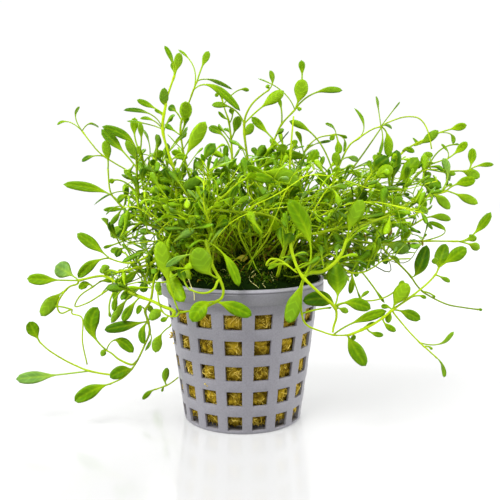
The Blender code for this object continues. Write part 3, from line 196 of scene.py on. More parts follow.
# Free stems and leaves of the dense middle
FREE_STEMS = 250
FREE_ACROSS = (-48.0, 70.0)
FREE_UP = (44.0, 104.0)
FREE_DEPTH = (2.0, 15.0)
FREE_TOP = 108.0
FREE_STEM_RADIUS = (0.22, 0.38)
SHORT_STEM_RADIUS = 0.22
FREE_STEM_SIDES = 5
FREE_STEM_THINNING = 0.45
WANDERING = 0.13
# Free stems are darkened below these heights, towards the moss: painted shade deep in the growth
DEEP_SHADE_SHARE = 0.9
DEEP_SHADE_HEIGHT = 52.0
DEEP_SHADE_SPAN = 20.0
MOSS_VIEW_DEPTH = 4.0
MOSS_VIEW_HALF_WIDTH = 15.0
MOSS_VIEW_TOP = 63.0
THINNING_START = 74.0
THINNING_SPAN = 20.0
OPEN_SIDE = 18.0
LEFT_OUT_SHARE = 0.4
SHORT_STEMS = 22
STRANDS = 150
STRANDS_RADIUS = 23.0
STRANDS_FRONT = -17.0
STRAND_REACH = (1.6, 4.0)
THIN_STRAND_RADIUS = (0.10, 0.20)
STEM_FOOT_RADIUS = (2.0, 21.0)
SIDE_LEAF_PITCH = 5.0
FREE_LEAF_TRIES = 4
FREE_LEAF_LENGTH = (5.0, 11.0)
FREE_BLADE_SHARE = (0.55, 0.8)
FREE_WIDTH_SHARE = (0.24, 0.50)
FREE_LEAF_LEAN = 1.1
FREE_LEAF_STATIONS = 8
PALE_SHEEN_CHANCE = 0.05
BRIGHT_CHANCE = 0.30
BRIGHT_IN_LIGHT = 0.45
BARE_BELOW = 66.0
BARE_CHANCE_LOW = 0.72
BARE_CHANCE_HIGH = 0.36
WITHERED_WIDTH_SHARE = 0.42

# Colours
STEM_GREEN = (0.36, 0.50, 0.006)
STEM_SHADE = (0.13, 0.215, 0.003)
STEM_LIT = (0.48, 0.64, 0.010)
LEAF_BRIGHT = (0.185, 0.335, 0.001)
LEAF_MIDDLE = (0.085, 0.200, 0.001)
LEAF_DARK = (0.020, 0.080, 0.001)
# Pale bluish green: partly the paler green of a leaf's underside, partly a painted bluish sheen
LEAF_PALE_AND_SHEEN = (0.170, 0.320, 0.070)
SHADED_BRIGHT = (0.310, 0.520, 0.002)
SHADED_MIDDLE = (0.095, 0.260, 0.002)
LEAF_UNDERSIDE = (0.180, 0.320, 0.020)
ROOT_PALE = (0.62, 0.60, 0.22)
DEAD_BROWN = (0.16, 0.045, 0.012)
SCRAP_BROWN = (0.32, 0.20, 0.020)
MOSS_DARK = (0.004, 0.012, 0.001)
# Bright moss green: partly paler moss, partly painted highlights on the strands
MOSS_GREEN_AND_HIGHLIGHT = (0.130, 0.270, 0.006)
MOSS_BROWN = (0.070, 0.045, 0.006)
# Dark rockwool: partly darker fibres, partly painted shade in the gaps between fibres
WOOL_DARK_AND_GAP_SHADE = (0.085, 0.050, 0.002)
WOOL_MIDDLE = (0.42, 0.29, 0.018)
# Pale rockwool: partly paler fibres, partly painted highlights
WOOL_PALE_AND_HIGHLIGHT = (0.95, 0.74, 0.16)
# Dark green of painted shade deep in the growth
DEEP_SHADE_GREEN = (0.030, 0.050, 0.003)
PLASTIC_DARK = (0.192, 0.187, 0.208)
PLASTIC_LIGHT = (0.228, 0.223, 0.247)
PLASTIC_COLLAR = (0.74, 0.75, 0.72)
WHITE = (1.0, 1.0, 1.0)

# Leaves of the table, counted from 0, that are darker, brighter or paler than the rest. The paler ones are
# partly a paler underside green and partly a painted bluish sheen
DARK_LEAVES = {"shoot_front_right": (2,), "shoot_right_long": (0, 1), "shoot_right_cluster": (1,),
               "shoot_left_pair": (2,), "shoot_tall_left": (3, 4, 10), "shoot_left_star": (3,),
               "shoot_left_tall": (6,), "shoot_left_oval": (4,), "shoot_front_loop": (0,),
               "shoot_left_runner": (3,), "shoot_left_level": (2,), "shoot_middle_left": (7,),
               "shoot_right_leafy": (4,), "shoot_right_broad": (0,), "shoot_tall_arch": (5,),
               "runner_over_moss": (2,)}
BRIGHT_LEAVES = {"shoot_right_tall": (3,), "shoot_tall_arch": (4,), "shoot_middle": (2,),
                 "shoot_right_cluster": (3, 4), "shoot_right_reach": (0,), "shoot_tall_left": (9,),
                 "shoot_right_upper": (1,), "shoot_right_runner": (0,), "shoot_front_left": (4,),
                 "shoot_right_broad": (3,), "shoot_tall_right": (0,), "shoot_left_runner": (7,),
                 "shoot_long_right": (0,)}
PALE_SHEEN_LEAVES = {"shoot_left_outer": (1,), "shoot_left_hub": (0,), "shoot_over_moss": (2,),
               "shoot_right_broad": (4,), "shoot_right_tall": (2,), "shoot_long_right": (2,),
               "shoot_right_clasp": (2,)}

# Small things, as seen: (across, up), then depth and size where they don't lie on the moss
MOSS_ROOTS = [[(8, 51), (4, 50.5), (2.3, 47.5), (5.5, 44.5)],
              [(9.5, 49), (10.3, 47.5), (10.5, 45)],
              [(7.5, 47), (6.9, 46), (7.8, 44.6)]]
HANGING_ROOT = [(-18.4, 47.6, -24.5), (-17.6, 45.2, -28.0), (-16.6, 42.5, -28.4), (-16.5, 40.3, -28.4)]
MOSS_SCRAP = [(-3.2, 53.6), (-1.0, 54.8), (1.4, 54.2)]
DEAD_LEAVES = [(48.5, 66.4, -8, 4.2), (56.8, 59.4, -2, 2.2), (61.2, 58.8, 0, 2.0), (36, 59, -12, 3.6),
               (-19.5, 57.5, -14, 2.0), (-9, 55, -17, 2.0), (41, 63, -8, 3.0)]
WOOL_TUFTS = [(-24.0, 28.4, 2.0, 1.5), (-23.0, 25.4, 2.0, 1.0), (-22.4, 20.6, 2.0, 1.0),
              (-12.2, 10.8, -18.4, 1.1), (-4.5, 19.0, -21.4, 0.7), (-20.8, 9.0, 2.0, 0.7)]

# The dense middle of the growth, as it is seen (across, up)
DENSE_OUTLINE = [(-26, 47), (-35, 41), (-44, 36), (-50, 41), (-47, 51), (-38, 55), (-44, 61), (-47, 69),
                 (-39, 74), (-41, 83), (-36, 92), (-30, 96), (-26, 102), (-20, 106), (-16, 100), (-9, 100),
                 (-3, 97), (4, 93), (10, 97), (17, 99), (22, 94), (30, 93), (34, 86), (40, 87), (46, 91),
                 (55, 91), (63, 90), (70, 84), (70, 77), (64, 69), (62, 60), (54, 54), (44, 50), (36, 46),
                 (27, 45)]

Shoot = namedtuple("Shoot", "name thickness root route leaves")
Leaf = namedtuple("Leaf", "where middle_across middle_up tip_across tip_up tip_depth blade width turn",
                  defaults=(0,))


def shoot(name, thickness, root, route, leaves):
    """A shoot: its stem's thickness, where it roots (across, depth), its route and its leaves.

    A leaf is (place along the route, its middle's across and up, its tip's across, up and depth,
    blade length, blade width) and may end with its blade's turn away from the viewer in degrees.
    """
    return Shoot(name, thickness, root, route, [Leaf(*leaf) for leaf in leaves])


SHOOTS = [
    # Runners that hang in front of the pot
    shoot("shoot_front_left", 1.1, (-10, -18), [
        (-12.3, 60.4, -26), (-11.3, 56, -28), (-10, 51.7, -29.5), (-7.9, 47.7, -31), (-6.6, 44.2, -32),
        (-7, 41.4, -32), (-9, 39.8, -32), (-14.5, 37.2, -31), (-21.8, 36, -30)], [
        (1, -5.8, 55.3, -1.2, 45, -31, 10.5, 3), (4, -12.6, 51.2, -15.4, 58.6, -34, 9.5, 6.4),
        (7, -13.4, 38.4, -17.3, 32.7, -35, 7.8, 5), (7, -3.5, 37.9, 3.1, 34.9, -34, 12, 4.3, 10),
        (9, -25.4, 47.5, -28, 60.9, -33, 12.5, 4.9)]),
    shoot("shoot_front_loop", 0.9, None, [
        (-8.6, 46.7, -32), (-9.6, 44.4, -33), (-12, 42.9, -34), (-15, 42.9, -34), (-18, 44, -33)], [
        (5, -19.6, 46.3, -21.5, 51.5, -28, 4, 2.6, 20)]),
    shoot("shoot_front_right", 1.1, (11, -19), [
        (15.3, 60.5, -27), (17, 56, -29), (18.4, 52, -30), (20.7, 48.1, -31), (25.5, 43.4, -31),
        (31.3, 38, -29), (32.2, 34.5, -28.5), (31.3, 31, -28), (31, 28.9, -28)], [
        (4, 18.4, 40.8, 15.6, 32.2, -30, 12, 4.7), (4, 22.9, 60, 15.3, 74.8, -30, 13, 5.2),
        (6, 28.5, 40.7, 20.6, 39.9, -20, 14, 4.9), (6, 32.6, 43.5, 31.3, 53.2, -23, 9, 6.4),
        (6, 36.8, 39.3, 44, 37.1, -29, 8, 3.9), (6, 33.5, 37.2, 36.4, 36.1, -26, 3.5, 1.9)]),
    shoot("shoot_front_right_low", 0.8, None, [
        (20.5, 46.4, -32), (20.1, 43, -32), (20, 38.5, -31), (20.3, 35.5, -31), (21, 32.9, -30),
        (23, 30.9, -30), (26.5, 29.5, -29.5), (31.2, 28, -29.3), (36.3, 27.9, -29)], [
        (9, 38.4, 23.6, 42.7, 17, -29, 10.5, 4.6), (9, 38.1, 27.9, 37.8, 26.2, -29, 2, 1.6),
        (8, 38.3, 32.4, 49.5, 36.4, -26, 10, 3.1), (4, 25.2, 36.9, 30.6, 37.6, -31, 1.5, 0.7)]),
    shoot("shoot_right_runner", 0.9, None, [
        (37.3, 28.2, -28.5), (41, 29.8, -28), (45, 31.8, -27), (48.3, 34.1, -26), (51.4, 36.7, -25),
        (57, 40.8, -24), (62.5, 45.3, -22), (65.8, 48.9, -22), (67, 51.5, -22)], [
        (5, 53.3, 41, 56.7, 45.9, -28, 8.5, 4.7), (5, 55.1, 36.1, 61.2, 33.3, -24, 6, 3.3),
        (5, 50.3, 34.9, 50.1, 32.1, -25, 3.6, 2.1), (5, 49.6, 37.9, 47.5, 37.8, -23, 3, 1.6),
        (4, 49.2, 31.7, 52.9, 29.3, -27, 3.6, 2), (2.4, 44.6, 28.7, 48.6, 27.9, -27, 3.6, 1.7),
        (2, 43.2, 31.4, 45.8, 32.2, -26, 4, 1.3), (9, 67.4, 54.2, 69.1, 59.6, -20, 8, 4.3),
        (9, 70.9, 54.4, 76.2, 58.2, -24, 7.5, 4.1), (8, 67.9, 48.1, 71, 46.3, -22, 3, 1.6, 20),
        (9, 66.1, 53, 65, 54.6, -23, 2.6, 2.2), (6, 60.2, 41.7, 63, 40.7, -25, 2.4, 1.2)]),
    shoot("shoot_right_fork", 0.7, None, [
        (33, 38.6, -27.5), (36, 39.4, -26), (40, 39.9, -25), (45, 40.1, -23), (49.3, 41.4, -21),
        (52.4, 43.4, -20)], [
        (6, 53.8, 45, 55, 47, -20, 3, 1.8, 20), (3, 41, 41.6, 43.4, 43.3, -24, 3, 1.4, 30)]),
    shoot("shoot_right_thread", 0.6, None, [
        (52.1, 35.4, -24.5), (54.3, 32.7, -24), (57.3, 29.2, -24), (61.2, 25.2, -23), (64.2, 22.5, -23),
        (67.2, 19.8, -22)], [
        (6, 69.1, 17.2, 69.9, 12.8, -22, 6.5, 2.6, 58), (4, 68.3, 24.8, 72.9, 29.1, -19, 8, 2.6, 60),
        (4.5, 64.5, 23.7, 65.5, 22.6, -23, 1.6, 0.9)]),
    shoot("shoot_right_long", 0.8, (19, -12), [
        (33, 60, -14), (41, 60.3, -12), (46.5, 58.8, -10), (50, 55.6, -9), (54, 52, -9), (57.4, 48.4, -9),
        (60, 44.8, -9), (63.3, 42, -9), (70, 38.7, -8), (76, 37.5, -8), (81, 36.8, -8)], [
        (6, 59.9, 50.3, 62.6, 59.2, -6, 9, 4.5), (3, 50.6, 59, 56.6, 57, -4, 8.5, 4.6),
        (7.6, 64.5, 42.3, 65.9, 40.9, -10, 1.5, 1), (11, 81.6, 36.8, 82.4, 36.5, -8, 1.6, 1)]),
    shoot("shoot_right_hanging", 0.7, (18, -15), [
        (29, 56, -20), (33.5, 52, -21), (37, 49.7, -20), (41.5, 50, -18), (45, 51.8, -16),
        (48.5, 54, -14), (57, 54.5, -11)], [
        (3, 37.4, 47, 36.7, 42.3, -21, 4.8, 1.9), (3, 38.7, 45, 40.4, 40.2, -21, 3, 1, 40),
        (3.8, 43.8, 46, 48.7, 39.1, -22, 3.5, 1), (6, 51, 55.4, 53.5, 53, -13, 4, 1.6, 50)]),
    shoot("shoot_right_leafy", 0.8, (17, -9), [
        (28, 57.5, -12), (34, 58.2, -10), (40, 58, -9)], [
        (2, 38.5, 55.4, 43.6, 51.2, -11, 6.5, 2.9), (3, 42.3, 56.5, 44.8, 51.9, -7, 5.5, 2.3),
        (2.6, 37.7, 54.6, 39.1, 50.5, -8, 4.5, 2.6), (2, 36.3, 56, 37, 52.8, -12, 3.6, 2, 60),
        (3, 44, 59.5, 48, 62.6, -6, 5, 3.2, 10)]),

    # Runners that hang on the left
    shoot("shoot_left_runner", 0.9, (-15, -15), [
        (-24, 56, -22), (-29.5, 49, -25), (-31.3, 40.5, -24), (-33.3, 36.8, -23), (-32.4, 33, -22),
        (-31.9, 29.2, -21), (-33.8, 24.5, -20), (-36, 19.8, -19), (-38.3, 16.2, -18), (-41.5, 13.1, -17),
        (-46, 10.9, -16)], [
        (11, -51.5, 8.9, -58.3, 4.9, -15, 12, 4.6), (9, -41.4, 15.6, -45.9, 13.2, -20, 7.5, 4),
        (5, -34.5, 29.4, -33.9, 25.1, -24, 6.8, 2.4), (5, -39.5, 31.6, -47.4, 30, -25, 12, 3.5),
        (6, -31.5, 26, -33.7, 22.6, -21, 6, 2.4, 68), (4, -34.8, 38, -36, 35.4, -24, 3.6, 1.8),
        (4, -32.2, 38, -30.9, 36, -22, 3, 1.9), (1, -24.6, 48.5, -19.9, 39.7, -34, 13, 4.7)]),
    shoot("shoot_left_outer", 0.8, None, [
        (-39.4, 15.9, -15.5), (-42, 14.6, -14), (-46, 14.3, -13), (-52.9, 15.6, -12), (-57.5, 17.5, -12),
        (-62, 19.9, -13), (-66.5, 22.9, -14), (-69.6, 25.8, -14)], [
        (8, -71.1, 28.9, -73, 33, -14, 6, 4.1), (4, -64.5, 14.2, -78.3, 12.8, -9, 13, 4.2)]),
    shoot("shoot_left_fork", 0.8, None, [
        (-38.4, 17.8, -20), (-42.5, 19.6, -20), (-45, 21.7, -20), (-46.9, 22.9, -20)], [
        (4, -51.8, 30.4, -49.4, 38, -18, 12, 5), (4, -47.7, 22.4, -48.5, 20.7, -20, 2.6, 1.9),
        (4, -43.2, 26.5, -37.6, 22, -20, 6.8, 3.4)]),
    shoot("shoot_left_hub", 1.2, None, [
        (-23.6, 36.6, -29), (-27.5, 38.3, -26), (-31, 40.1, -22), (-37.5, 42.6, -18), (-42, 45.8, -16),
        (-46, 48.4, -13), (-49.5, 48.6, -11), (-55.7, 47.2, -9)], [
        (8, -59.2, 49.9, -63.4, 52.3, -6, 7, 5.8), (8, -64, 47.4, -73.2, 47.9, -10, 9.5, 3.8),
        (4, -41.2, 38.5, -45, 32.4, -15, 9, 2.6, 10), (3.6, -38.4, 37.5, -41, 33, -20, 7.5, 2.8),
        (5, -45.2, 40.3, -45.2, 34.3, -17, 2, 1), (4.6, -43, 41.5, -43.9, 36.5, -19, 4.6, 1.9),
        (6, -47.4, 50.9, -45, 51.9, -15, 4.5, 2.2, 10)]),
    shoot("shoot_left_loop", 0.7, None, [
        (-56.3, 46, -10), (-59, 45, -9), (-61.3, 42.5, -9), (-63, 39.5, -9), (-63, 37, -9),
        (-61.6, 35.9, -9), (-58.4, 37.2, -9), (-58.2, 35.7, -9), (-54.8, 34, -10), (-55, 26, -11),
        (-53.6, 17.9, -12)], [
        (2.5, -63.8, 41.1, -68.9, 34.9, -8, 9, 4.4), (7, -61.5, 38.1, -64.2, 38.3, -9, 1.4, 0.9)]),
    shoot("shoot_left_twin", 0.6, None, [
        (-44.8, 44.9, -16.5), (-49.5, 41.5, -13), (-53.5, 39.2, -12), (-57.2, 38.3, -11),
        (-55.3, 42, -11), (-51, 45, -11), (-48.3, 46.9, -12)], [
        (6, -53, 46, -55.7, 44.3, -11, 4, 2.5), (7, -46, 47.3, -43.6, 47.2, -11, 4, 1.8)]),
    shoot("shoot_left_pale", 0.6, None, [
        (-22.8, 34.7, -30.5), (-25.5, 34.9, -29), (-27.5, 36.5, -28.5), (-28.6, 39.8, -28),
        (-29, 43.2, -27)], [
        (3, -29, 36.2, -32, 33.5, -27, 4.8, 3.2), (5, -29, 44.6, -28.3, 46.8, -27, 3.2, 1.8),
        (2, -26.2, 34, -28.2, 33.2, -28, 2.2, 1.6)]),
    shoot("shoot_from_pot_wall", 0.5, None, [
        (-22.3, 13.2, 2.6), (-24.3, 11.6, 1), (-26.3, 10.4, 0), (-30.3, 8.9, -1)], [
        (4, -32.3, 7.9, -34.8, 5.3, -2, 4.4, 1.8), (3, -26.9, 12.6, -26, 16.7, 0, 4.8, 2.5),
        (3.2, -27.6, 9.4, -28, 8, 0, 1.3, 0.9)]),
    shoot("shoot_left_level", 1.0, (-14, -9), [
        (-24, 56.5, -12), (-31.5, 52.8, -13), (-37.5, 51.2, -13), (-43, 49.9, -12)], [
        (4, -45.6, 50.8, -48.6, 50.2, -9, 4.5, 2.3), (2.6, -37.2, 49.2, -41.3, 46.1, -15, 6, 2.6),
        (2, -33.2, 47, -33.9, 43, -16, 6, 2.8), (2, -30.8, 49.2, -32.3, 45.9, -11, 4, 1.7),
        (3.5, -41.5, 48, -43.5, 46.5, -18, 3.5, 1.8)]),
    shoot("shoot_left_pair", 0.9, (-12, -4), [
        (-24, 60, -6), (-33, 55, -4), (-38, 53.2, -2), (-42, 53.7, 0), (-45.3, 54.9, 0)], [
        (5, -49.7, 58.8, -55.8, 63.3, 2, 11, 3.9), (5, -50.5, 53.2, -55.9, 48.1, -4, 9.5, 3.5),
        (2, -39.5, 58.4, -42.7, 55.1, -7, 4.5, 2.4), (3, -40, 56.6, -44.8, 57.4, 3, 5, 2.4, 10)]),

    # Shoots that rise on the left
    shoot("shoot_left_tall", 1.0, (-10, -3), [
        (-22, 63, -4), (-31, 66, -4), (-34.7, 71, -4), (-35.2, 78, -4), (-35.3, 88, -4)], [
        (5, -37.2, 94.4, -46.6, 98.9, -3, 11, 3), (5, -36.1, 90, -38.8, 94.3, -6, 5.8, 2.8),
        (4.7, -39.3, 90.2, -46.8, 98, 0, 8.5, 3.5), (2.6, -36.6, 69.2, -39, 68.4, -6, 2.8, 2.3),
        (3.9, -37, 81.3, -39, 83.2, -4, 4, 2.6), (3.8, -40.2, 80.9, -44.6, 80.4, -7, 2.6, 1.8),
        (3.4, -41, 77.4, -50, 72.7, -6, 7, 2.4, 76), (3.3, -38.8, 76, -42, 73.6, -2, 4.6, 2.3, 20),
        (2.4, -37.6, 64.5, -41.7, 60.8, -5, 5, 1.2)]),
    shoot("shoot_left_high", 0.9, (-12, 2), [
        (-26, 64, 4), (-36, 68, 6), (-41.5, 73.5, 6), (-44.3, 77.5, 5), (-44.9, 85, 5)], [
        (5, -44.9, 89.3, -45.8, 94.3, 4, 6.8, 3.1), (3, -47.3, 77.7, -60, 79.8, 8, 13, 3.4),
        (2.6, -42.3, 71.5, -46.8, 71.2, 4, 6, 1.8), (1.6, -38.5, 62.8, -40.3, 60.5, 2, 3.5, 1.2),
        (1.3, -40.5, 60.6, -47.1, 58.4, 3, 6, 1.2)]),
    shoot("shoot_left_star", 0.7, (-6, 8), [
        (-17, 70, 10), (-27, 79, 12), (-33.5, 82.3, 12), (-38.5, 84.5, 11), (-46.5, 89.4, 10),
        (-50.3, 93.5, 9), (-53.2, 97.5, 9)], [
        (7, -57.5, 100.4, -61.4, 99.4, 10, 4.5, 1.8, 66), (7, -55.2, 102, -53.8, 105.5, 8, 4.5, 2.2, 60),
        (7, -50.6, 99.8, -47.6, 98.6, 8, 4.5, 2.2, 68),
        (4.9, -49.5, 89.2, -53.6, 87.4, 11, 4.5, 2.2, 40)]),
    shoot("shoot_left_oval", 0.9, (-8, 3), [
        (-16, 66, 2), (-24.5, 71, 3), (-29.8, 76, 3), (-32.2, 84.5, 2), (-34.3, 91, 2)], [
        (5, -35.8, 96, -35.6, 101.9, 3, 5.5, 2.7), (5, -33.6, 94.5, -34, 100.3, 0, 4.2, 2),
        (4, -30.8, 91.8, -33.3, 98.2, 5, 6, 2.4, 70), (4, -29.8, 88, -26.3, 90.8, 4, 5, 2.8),
        (3.2, -28, 77.7, -25.5, 75, 1, 4, 2.4)]),
    shoot("shoot_tall_left", 1.1, (-5, -2), [
        (-14, 64, -4), (-21.5, 71, -5), (-22.2, 82, -5), (-24.3, 89, -5), (-26.5, 98, -5),
        (-25.4, 105.8, -5), (-24.7, 109, -5), (-22.3, 115.6, -5)], [
        (8, -23, 119.8, -25.5, 125.1, -4, 6.5, 2.2, 45), (8, -21.4, 118.6, -20.6, 122.9, -7, 5.5, 2.8),
        (8, -22.4, 117.6, -22.2, 120.3, -3, 4, 2.6), (6, -25.9, 107.2, -25.7, 111.6, -6, 4.8, 3),
        (5, -30.6, 103, -39.4, 104.2, -8, 8, 2.2, 50), (5, -29.8, 101, -33.9, 101.5, -3, 5, 1.6, 45),
        (5, -31.5, 99.7, -38.4, 100.7, 0, 6, 1.4, 55), (5.6, -29.2, 105, -34.9, 107.6, -2, 5.8, 2),
        (5.5, -27.2, 103.3, -29.1, 104.4, -5, 2.4, 1.1), (3, -18.3, 90.3, -12.2, 100.6, -10, 11, 4.4),
        (2.5, -19.8, 78.2, -13.6, 81.9, -13, 9, 3.7), (3.8, -21.5, 89, -18.2, 88.5, -7, 5, 2.1)]),
    shoot("shoot_tall_arch", 0.8, (-3, 4), [
        (-10, 68, 6), (-17, 80, 8), (-20.5, 96, 8), (-19.5, 103, 7), (-17.6, 107, 6), (-16.2, 110.7, 5),
        (-14.9, 113.7, 5)], [
        (7, -13.3, 118.2, -11, 123.4, 5, 5, 2.4), (7, -10.3, 114.1, -3.2, 111, 2, 9, 2.5, 60),
        (6, -9.8, 112, -0.7, 104, -2, 14, 2.7, 10), (5.6, -15.8, 117.6, -21.1, 123.9, 9, 4.5, 1.8, 55),
        (3.1, -19, 101, -18.8, 107.2, 1, 8, 4.3), (3.6, -22, 103.8, -24.5, 105.3, 10, 4, 2.6, 20)]),

    # Shoots that rise in the middle
    shoot("shoot_middle_left", 0.8, (1, 6), [
        (-1.5, 68, 8), (-3, 80, 10), (-3.7, 94, 10), (-4.5, 100.5, 9), (-5.8, 104.5, 8),
        (-6.7, 107.8, 8)], [
        (6, -7.8, 109.4, -8.9, 108.6, 7, 2.2, 1.4), (6, -6.2, 109.4, -6, 110.6, 8, 2.4, 1.3),
        (3.9, -3.3, 102.6, -4.1, 104.9, 6, 3, 1.9), (3.1, -2.2, 98.6, -1.4, 102.4, 5, 7, 3.1),
        (4.2, -6.2, 102, -8, 103.9, 9, 3.5, 1.2), (5.5, -1.6, 110.6, 2.2, 110.5, 11, 4, 1.5, 20),
        (2.6, -6, 95.4, -11.3, 98.6, 14, 6.5, 2.8, 10), (2, -6.5, 82.5, -9.5, 84.3, 6, 5, 3.2)]),
    shoot("shoot_middle", 0.9, (4, 3), [
        (3.5, 68, 4), (2.8, 80, 3), (0.8, 95, 1), (0.6, 99.7, 1), (1.3, 103, 1), (3.3, 106.4, 1),
        (6, 108.9, 1), (8.8, 110.9, 1)], [
        (8, 10, 113.8, 9, 117.2, 0, 4.8, 2.2, 40), (8, 8.6, 111.9, 7.7, 111.6, 1, 1.8, 1.4),
        (4, 5.6, 104.6, 13.8, 110.6, -1, 7.5, 3.7), (4, -3.4, 104.9, -10.2, 105.9, 3, 5.5, 2.1),
        (3.2, 1.9, 97.3, 3.4, 100, 0, 4.5, 2.9), (2.3, 0.3, 90.8, -1, 91.4, 4, 2.6, 2.2)]),
    shoot("shoot_tall_right", 0.9, (6, 0), [
        (5, 68, 2), (6.5, 80, 4), (8.7, 90, 5), (10.8, 95, 5), (13, 99.6, 5), (17.5, 104.5, 4)], [
        (6, 19, 109, 19.8, 114.5, 2, 8, 4.7), (6, 19.5, 112.3, 19.4, 120.6, 5, 4.6, 2.3),
        (6, 24, 109.9, 33.2, 110.7, 4, 8.5, 2.2), (6, 13, 110.6, 5, 114.6, 5, 4, 1.2, 60),
        (5, 13, 104, 12, 108.2, 6, 3.5, 1.4), (5.9, 18.6, 105.3, 18.9, 103.9, 1, 1.8, 1.6)]),
    shoot("shoot_middle_right", 0.9, (10, -2), [
        (14, 66, -3), (15.5, 78, -3), (15.9, 88, -2), (16.4, 95, -1), (17, 102.3, 0)], [
        (3, 10.3, 94.7, 3, 102.1, 3, 7, 2.6), (3, 13.9, 90.2, 13.2, 93.3, -5, 4, 3.6),
        (2.1, 21, 84.6, 25, 91.4, 0, 8, 3.7), (3.4, 17.2, 93, 17.8, 94.6, -1, 3, 1.9)]),
    shoot("shoot_right_star", 0.7, (12, 5), [
        (17, 68, 8), (19.5, 80, 10), (20, 89, 10), (24.5, 94.8, 9), (31.3, 96.4, 9)], [
        (5, 30.2, 98.6, 27.5, 99.9, 9, 4.5, 2.4, 62), (5, 33.2, 96, 34.9, 95, 9, 2.6, 1.8, 50),
        (5, 30.3, 95.7, 29.4, 94.3, 8, 2.4, 1.8), (5, 34.2, 94.3, 33.8, 90.4, 10, 5.5, 2.4, 66),
        (5, 32, 93.2, 32.1, 89.8, 7, 5, 2.6), (3, 23.6, 92.8, 29.6, 94.1, 12, 5.5, 2, 62)]),
    shoot("shoot_right_clasp", 0.9, (14, 1), [
        (22, 66, 3), (28, 74, 5), (31, 81, 5), (31.5, 85.5, 5)], [
        (4, 31.4, 87.4, 31.2, 90.6, 5, 4.6, 3.1), (3, 25.2, 94.4, 15.5, 100.7, 3, 9, 2.4),
        (3.6, 34, 88.4, 38.9, 87.6, 7, 3.9, 2), (2.3, 27.5, 79, 25, 82, 8, 4, 2.4)]),
    shoot("shoot_right_tall", 0.8, (14, 4), [
        (22, 65, 10), (29, 78, 14), (34.8, 91.3, 13), (38.7, 95, 12), (43, 97.9, 11), (46.2, 99, 10)], [
        (6, 45.2, 104.5, 44.3, 109, 10, 6, 2, 72), (6, 49.4, 103.3, 52.3, 107.1, 9, 4, 1.8, 68),
        (6, 48, 99.3, 49.8, 98.1, 9, 3.4, 2.2, 66), (6, 48.5, 95.6, 48.6, 89, 11, 7.2, 3.2),
        (6, 46.8, 94, 45.6, 88.7, 8, 8, 2.4, 62), (4, 40.4, 99.4, 37, 105.1, 14, 7, 2.4, 66)]),
    shoot("runner_arch", 0.5, None, [
        (47, 99.5, 9), (49.5, 100.7, 8), (53, 101.9, 7), (56.2, 102.2, 7), (58.8, 101.6, 6),
        (60.9, 99.4, 6), (62.4, 95.8, 5), (63.3, 91.5, 5)], []),
    shoot("shoot_right_second", 0.8, (16, -3), [
        (25, 66, 4), (32, 78, 6), (41, 90.8, 8), (45.6, 97.6, 8.5)], [
        (2, 23.5, 87.8, 8.5, 89, -4, 15, 3.3), (2.4, 37.4, 83.5, 40.5, 82.2, 6, 4, 1.9),
        (1.5, 33.5, 75, 37.2, 76.3, 4, 4, 2.2)]),
    shoot("shoot_right_broad", 1.1, (17, -7), [
        (28, 64, -6), (35, 69, -6), (41.5, 80.5, -6), (43.5, 83.3, -6)], [
        (4, 45.3, 85.8, 48.9, 88.9, -7, 6.6, 4.7), (4, 44.2, 86.8, 44.5, 89.8, -3, 3.4, 1.8),
        (4, 42.9, 85.7, 42, 87.7, -5, 3.4, 1.8), (3.2, 46.2, 83, 50.2, 85.7, -9, 7, 4.4),
        (1.6, 30.2, 69.5, 36.9, 69.3, -10, 6, 4.2, 10)]),
    shoot("shoot_right_cluster", 1.1, (18, -4), [
        (30, 65, -2), (40, 70.5, -2), (50, 78, -2)], [
        (3, 54, 82.4, 58.7, 88.8, -2, 9.5, 4.7), (3, 51.1, 84, 51.6, 91.3, 1, 8, 3.5),
        (3, 49, 82.5, 49.6, 87, 3, 6, 3.8), (3, 53.5, 79.8, 57.2, 80.6, -5, 5, 3),
        (2.5, 46, 76.7, 45.3, 80.2, -5, 5, 3)]),
    shoot("shoot_right_upper", 0.8, (18, 4), [
        (33, 68, 6), (44, 79, 8), (53.5, 90.3, 8), (61.5, 95, 8), (65.6, 96.9, 8)], [
        (3.5, 60.8, 94.1, 65.4, 97.7, 4, 6.5, 3.1), (5, 69.2, 98, 74.9, 99.4, 9, 5, 2.7),
        (5, 69.7, 96.3, 70.4, 93.1, 8, 4.5, 1.7, 30), (3.8, 59.1, 93.2, 56.8, 95.4, 9, 4, 2, 60),
        (3, 54.6, 91.6, 57.6, 90.4, 6, 3.4, 2)]),
    shoot("shoot_right_reach", 0.8, (17, 7), [
        (32, 64, 10), (44, 70, 12), (52, 75.5, 12), (61, 85, 10), (66, 87.4, 9), (68.8, 88.3, 9)], [
        (6, 71.8, 90.6, 75.2, 93.9, 9, 5.6, 2.8), (6, 68.8, 90.6, 66.4, 93.2, 9, 3.6, 1.8, 60),
        (4, 60.8, 88.6, 63.9, 89.4, 7, 5.4, 2.7), (4.3, 66.5, 91.4, 72.6, 93.1, 12, 2, 0.8),
        (4, 66, 84.1, 71.8, 83.1, 12, 4.5, 1.9), (3.4, 60.7, 81, 62.4, 84.1, 8, 4, 2.5)]),
    shoot("shoot_right_far", 0.6, None, [
        (61.9, 84.7, 8.5), (66, 84.7, 7), (70, 84.2, 6), (76.1, 84.3, 6)], [
        (3.3, 75.4, 83.8, 79.9, 82.1, 6, 6, 3.4), (4, 76.9, 87.3, 76.9, 91.9, 7, 5.4, 2.9),
        (4, 79.4, 86, 84.4, 86.3, 8, 5.6, 1.7)]),
    shoot("shoot_long_right", 1.1, (13, -15), [
        (18, 61.5, -21), (25, 63.2, -22), (35, 65.5, -18), (45, 68.2, -12), (53, 71.8, -8),
        (60, 74.8, -4), (69, 77.6, 0)], [
        (7, 73.2, 76, 79.6, 73.2, 1, 7.5, 3), (7, 72.4, 79.9, 78.5, 81, -2, 6, 3.5),
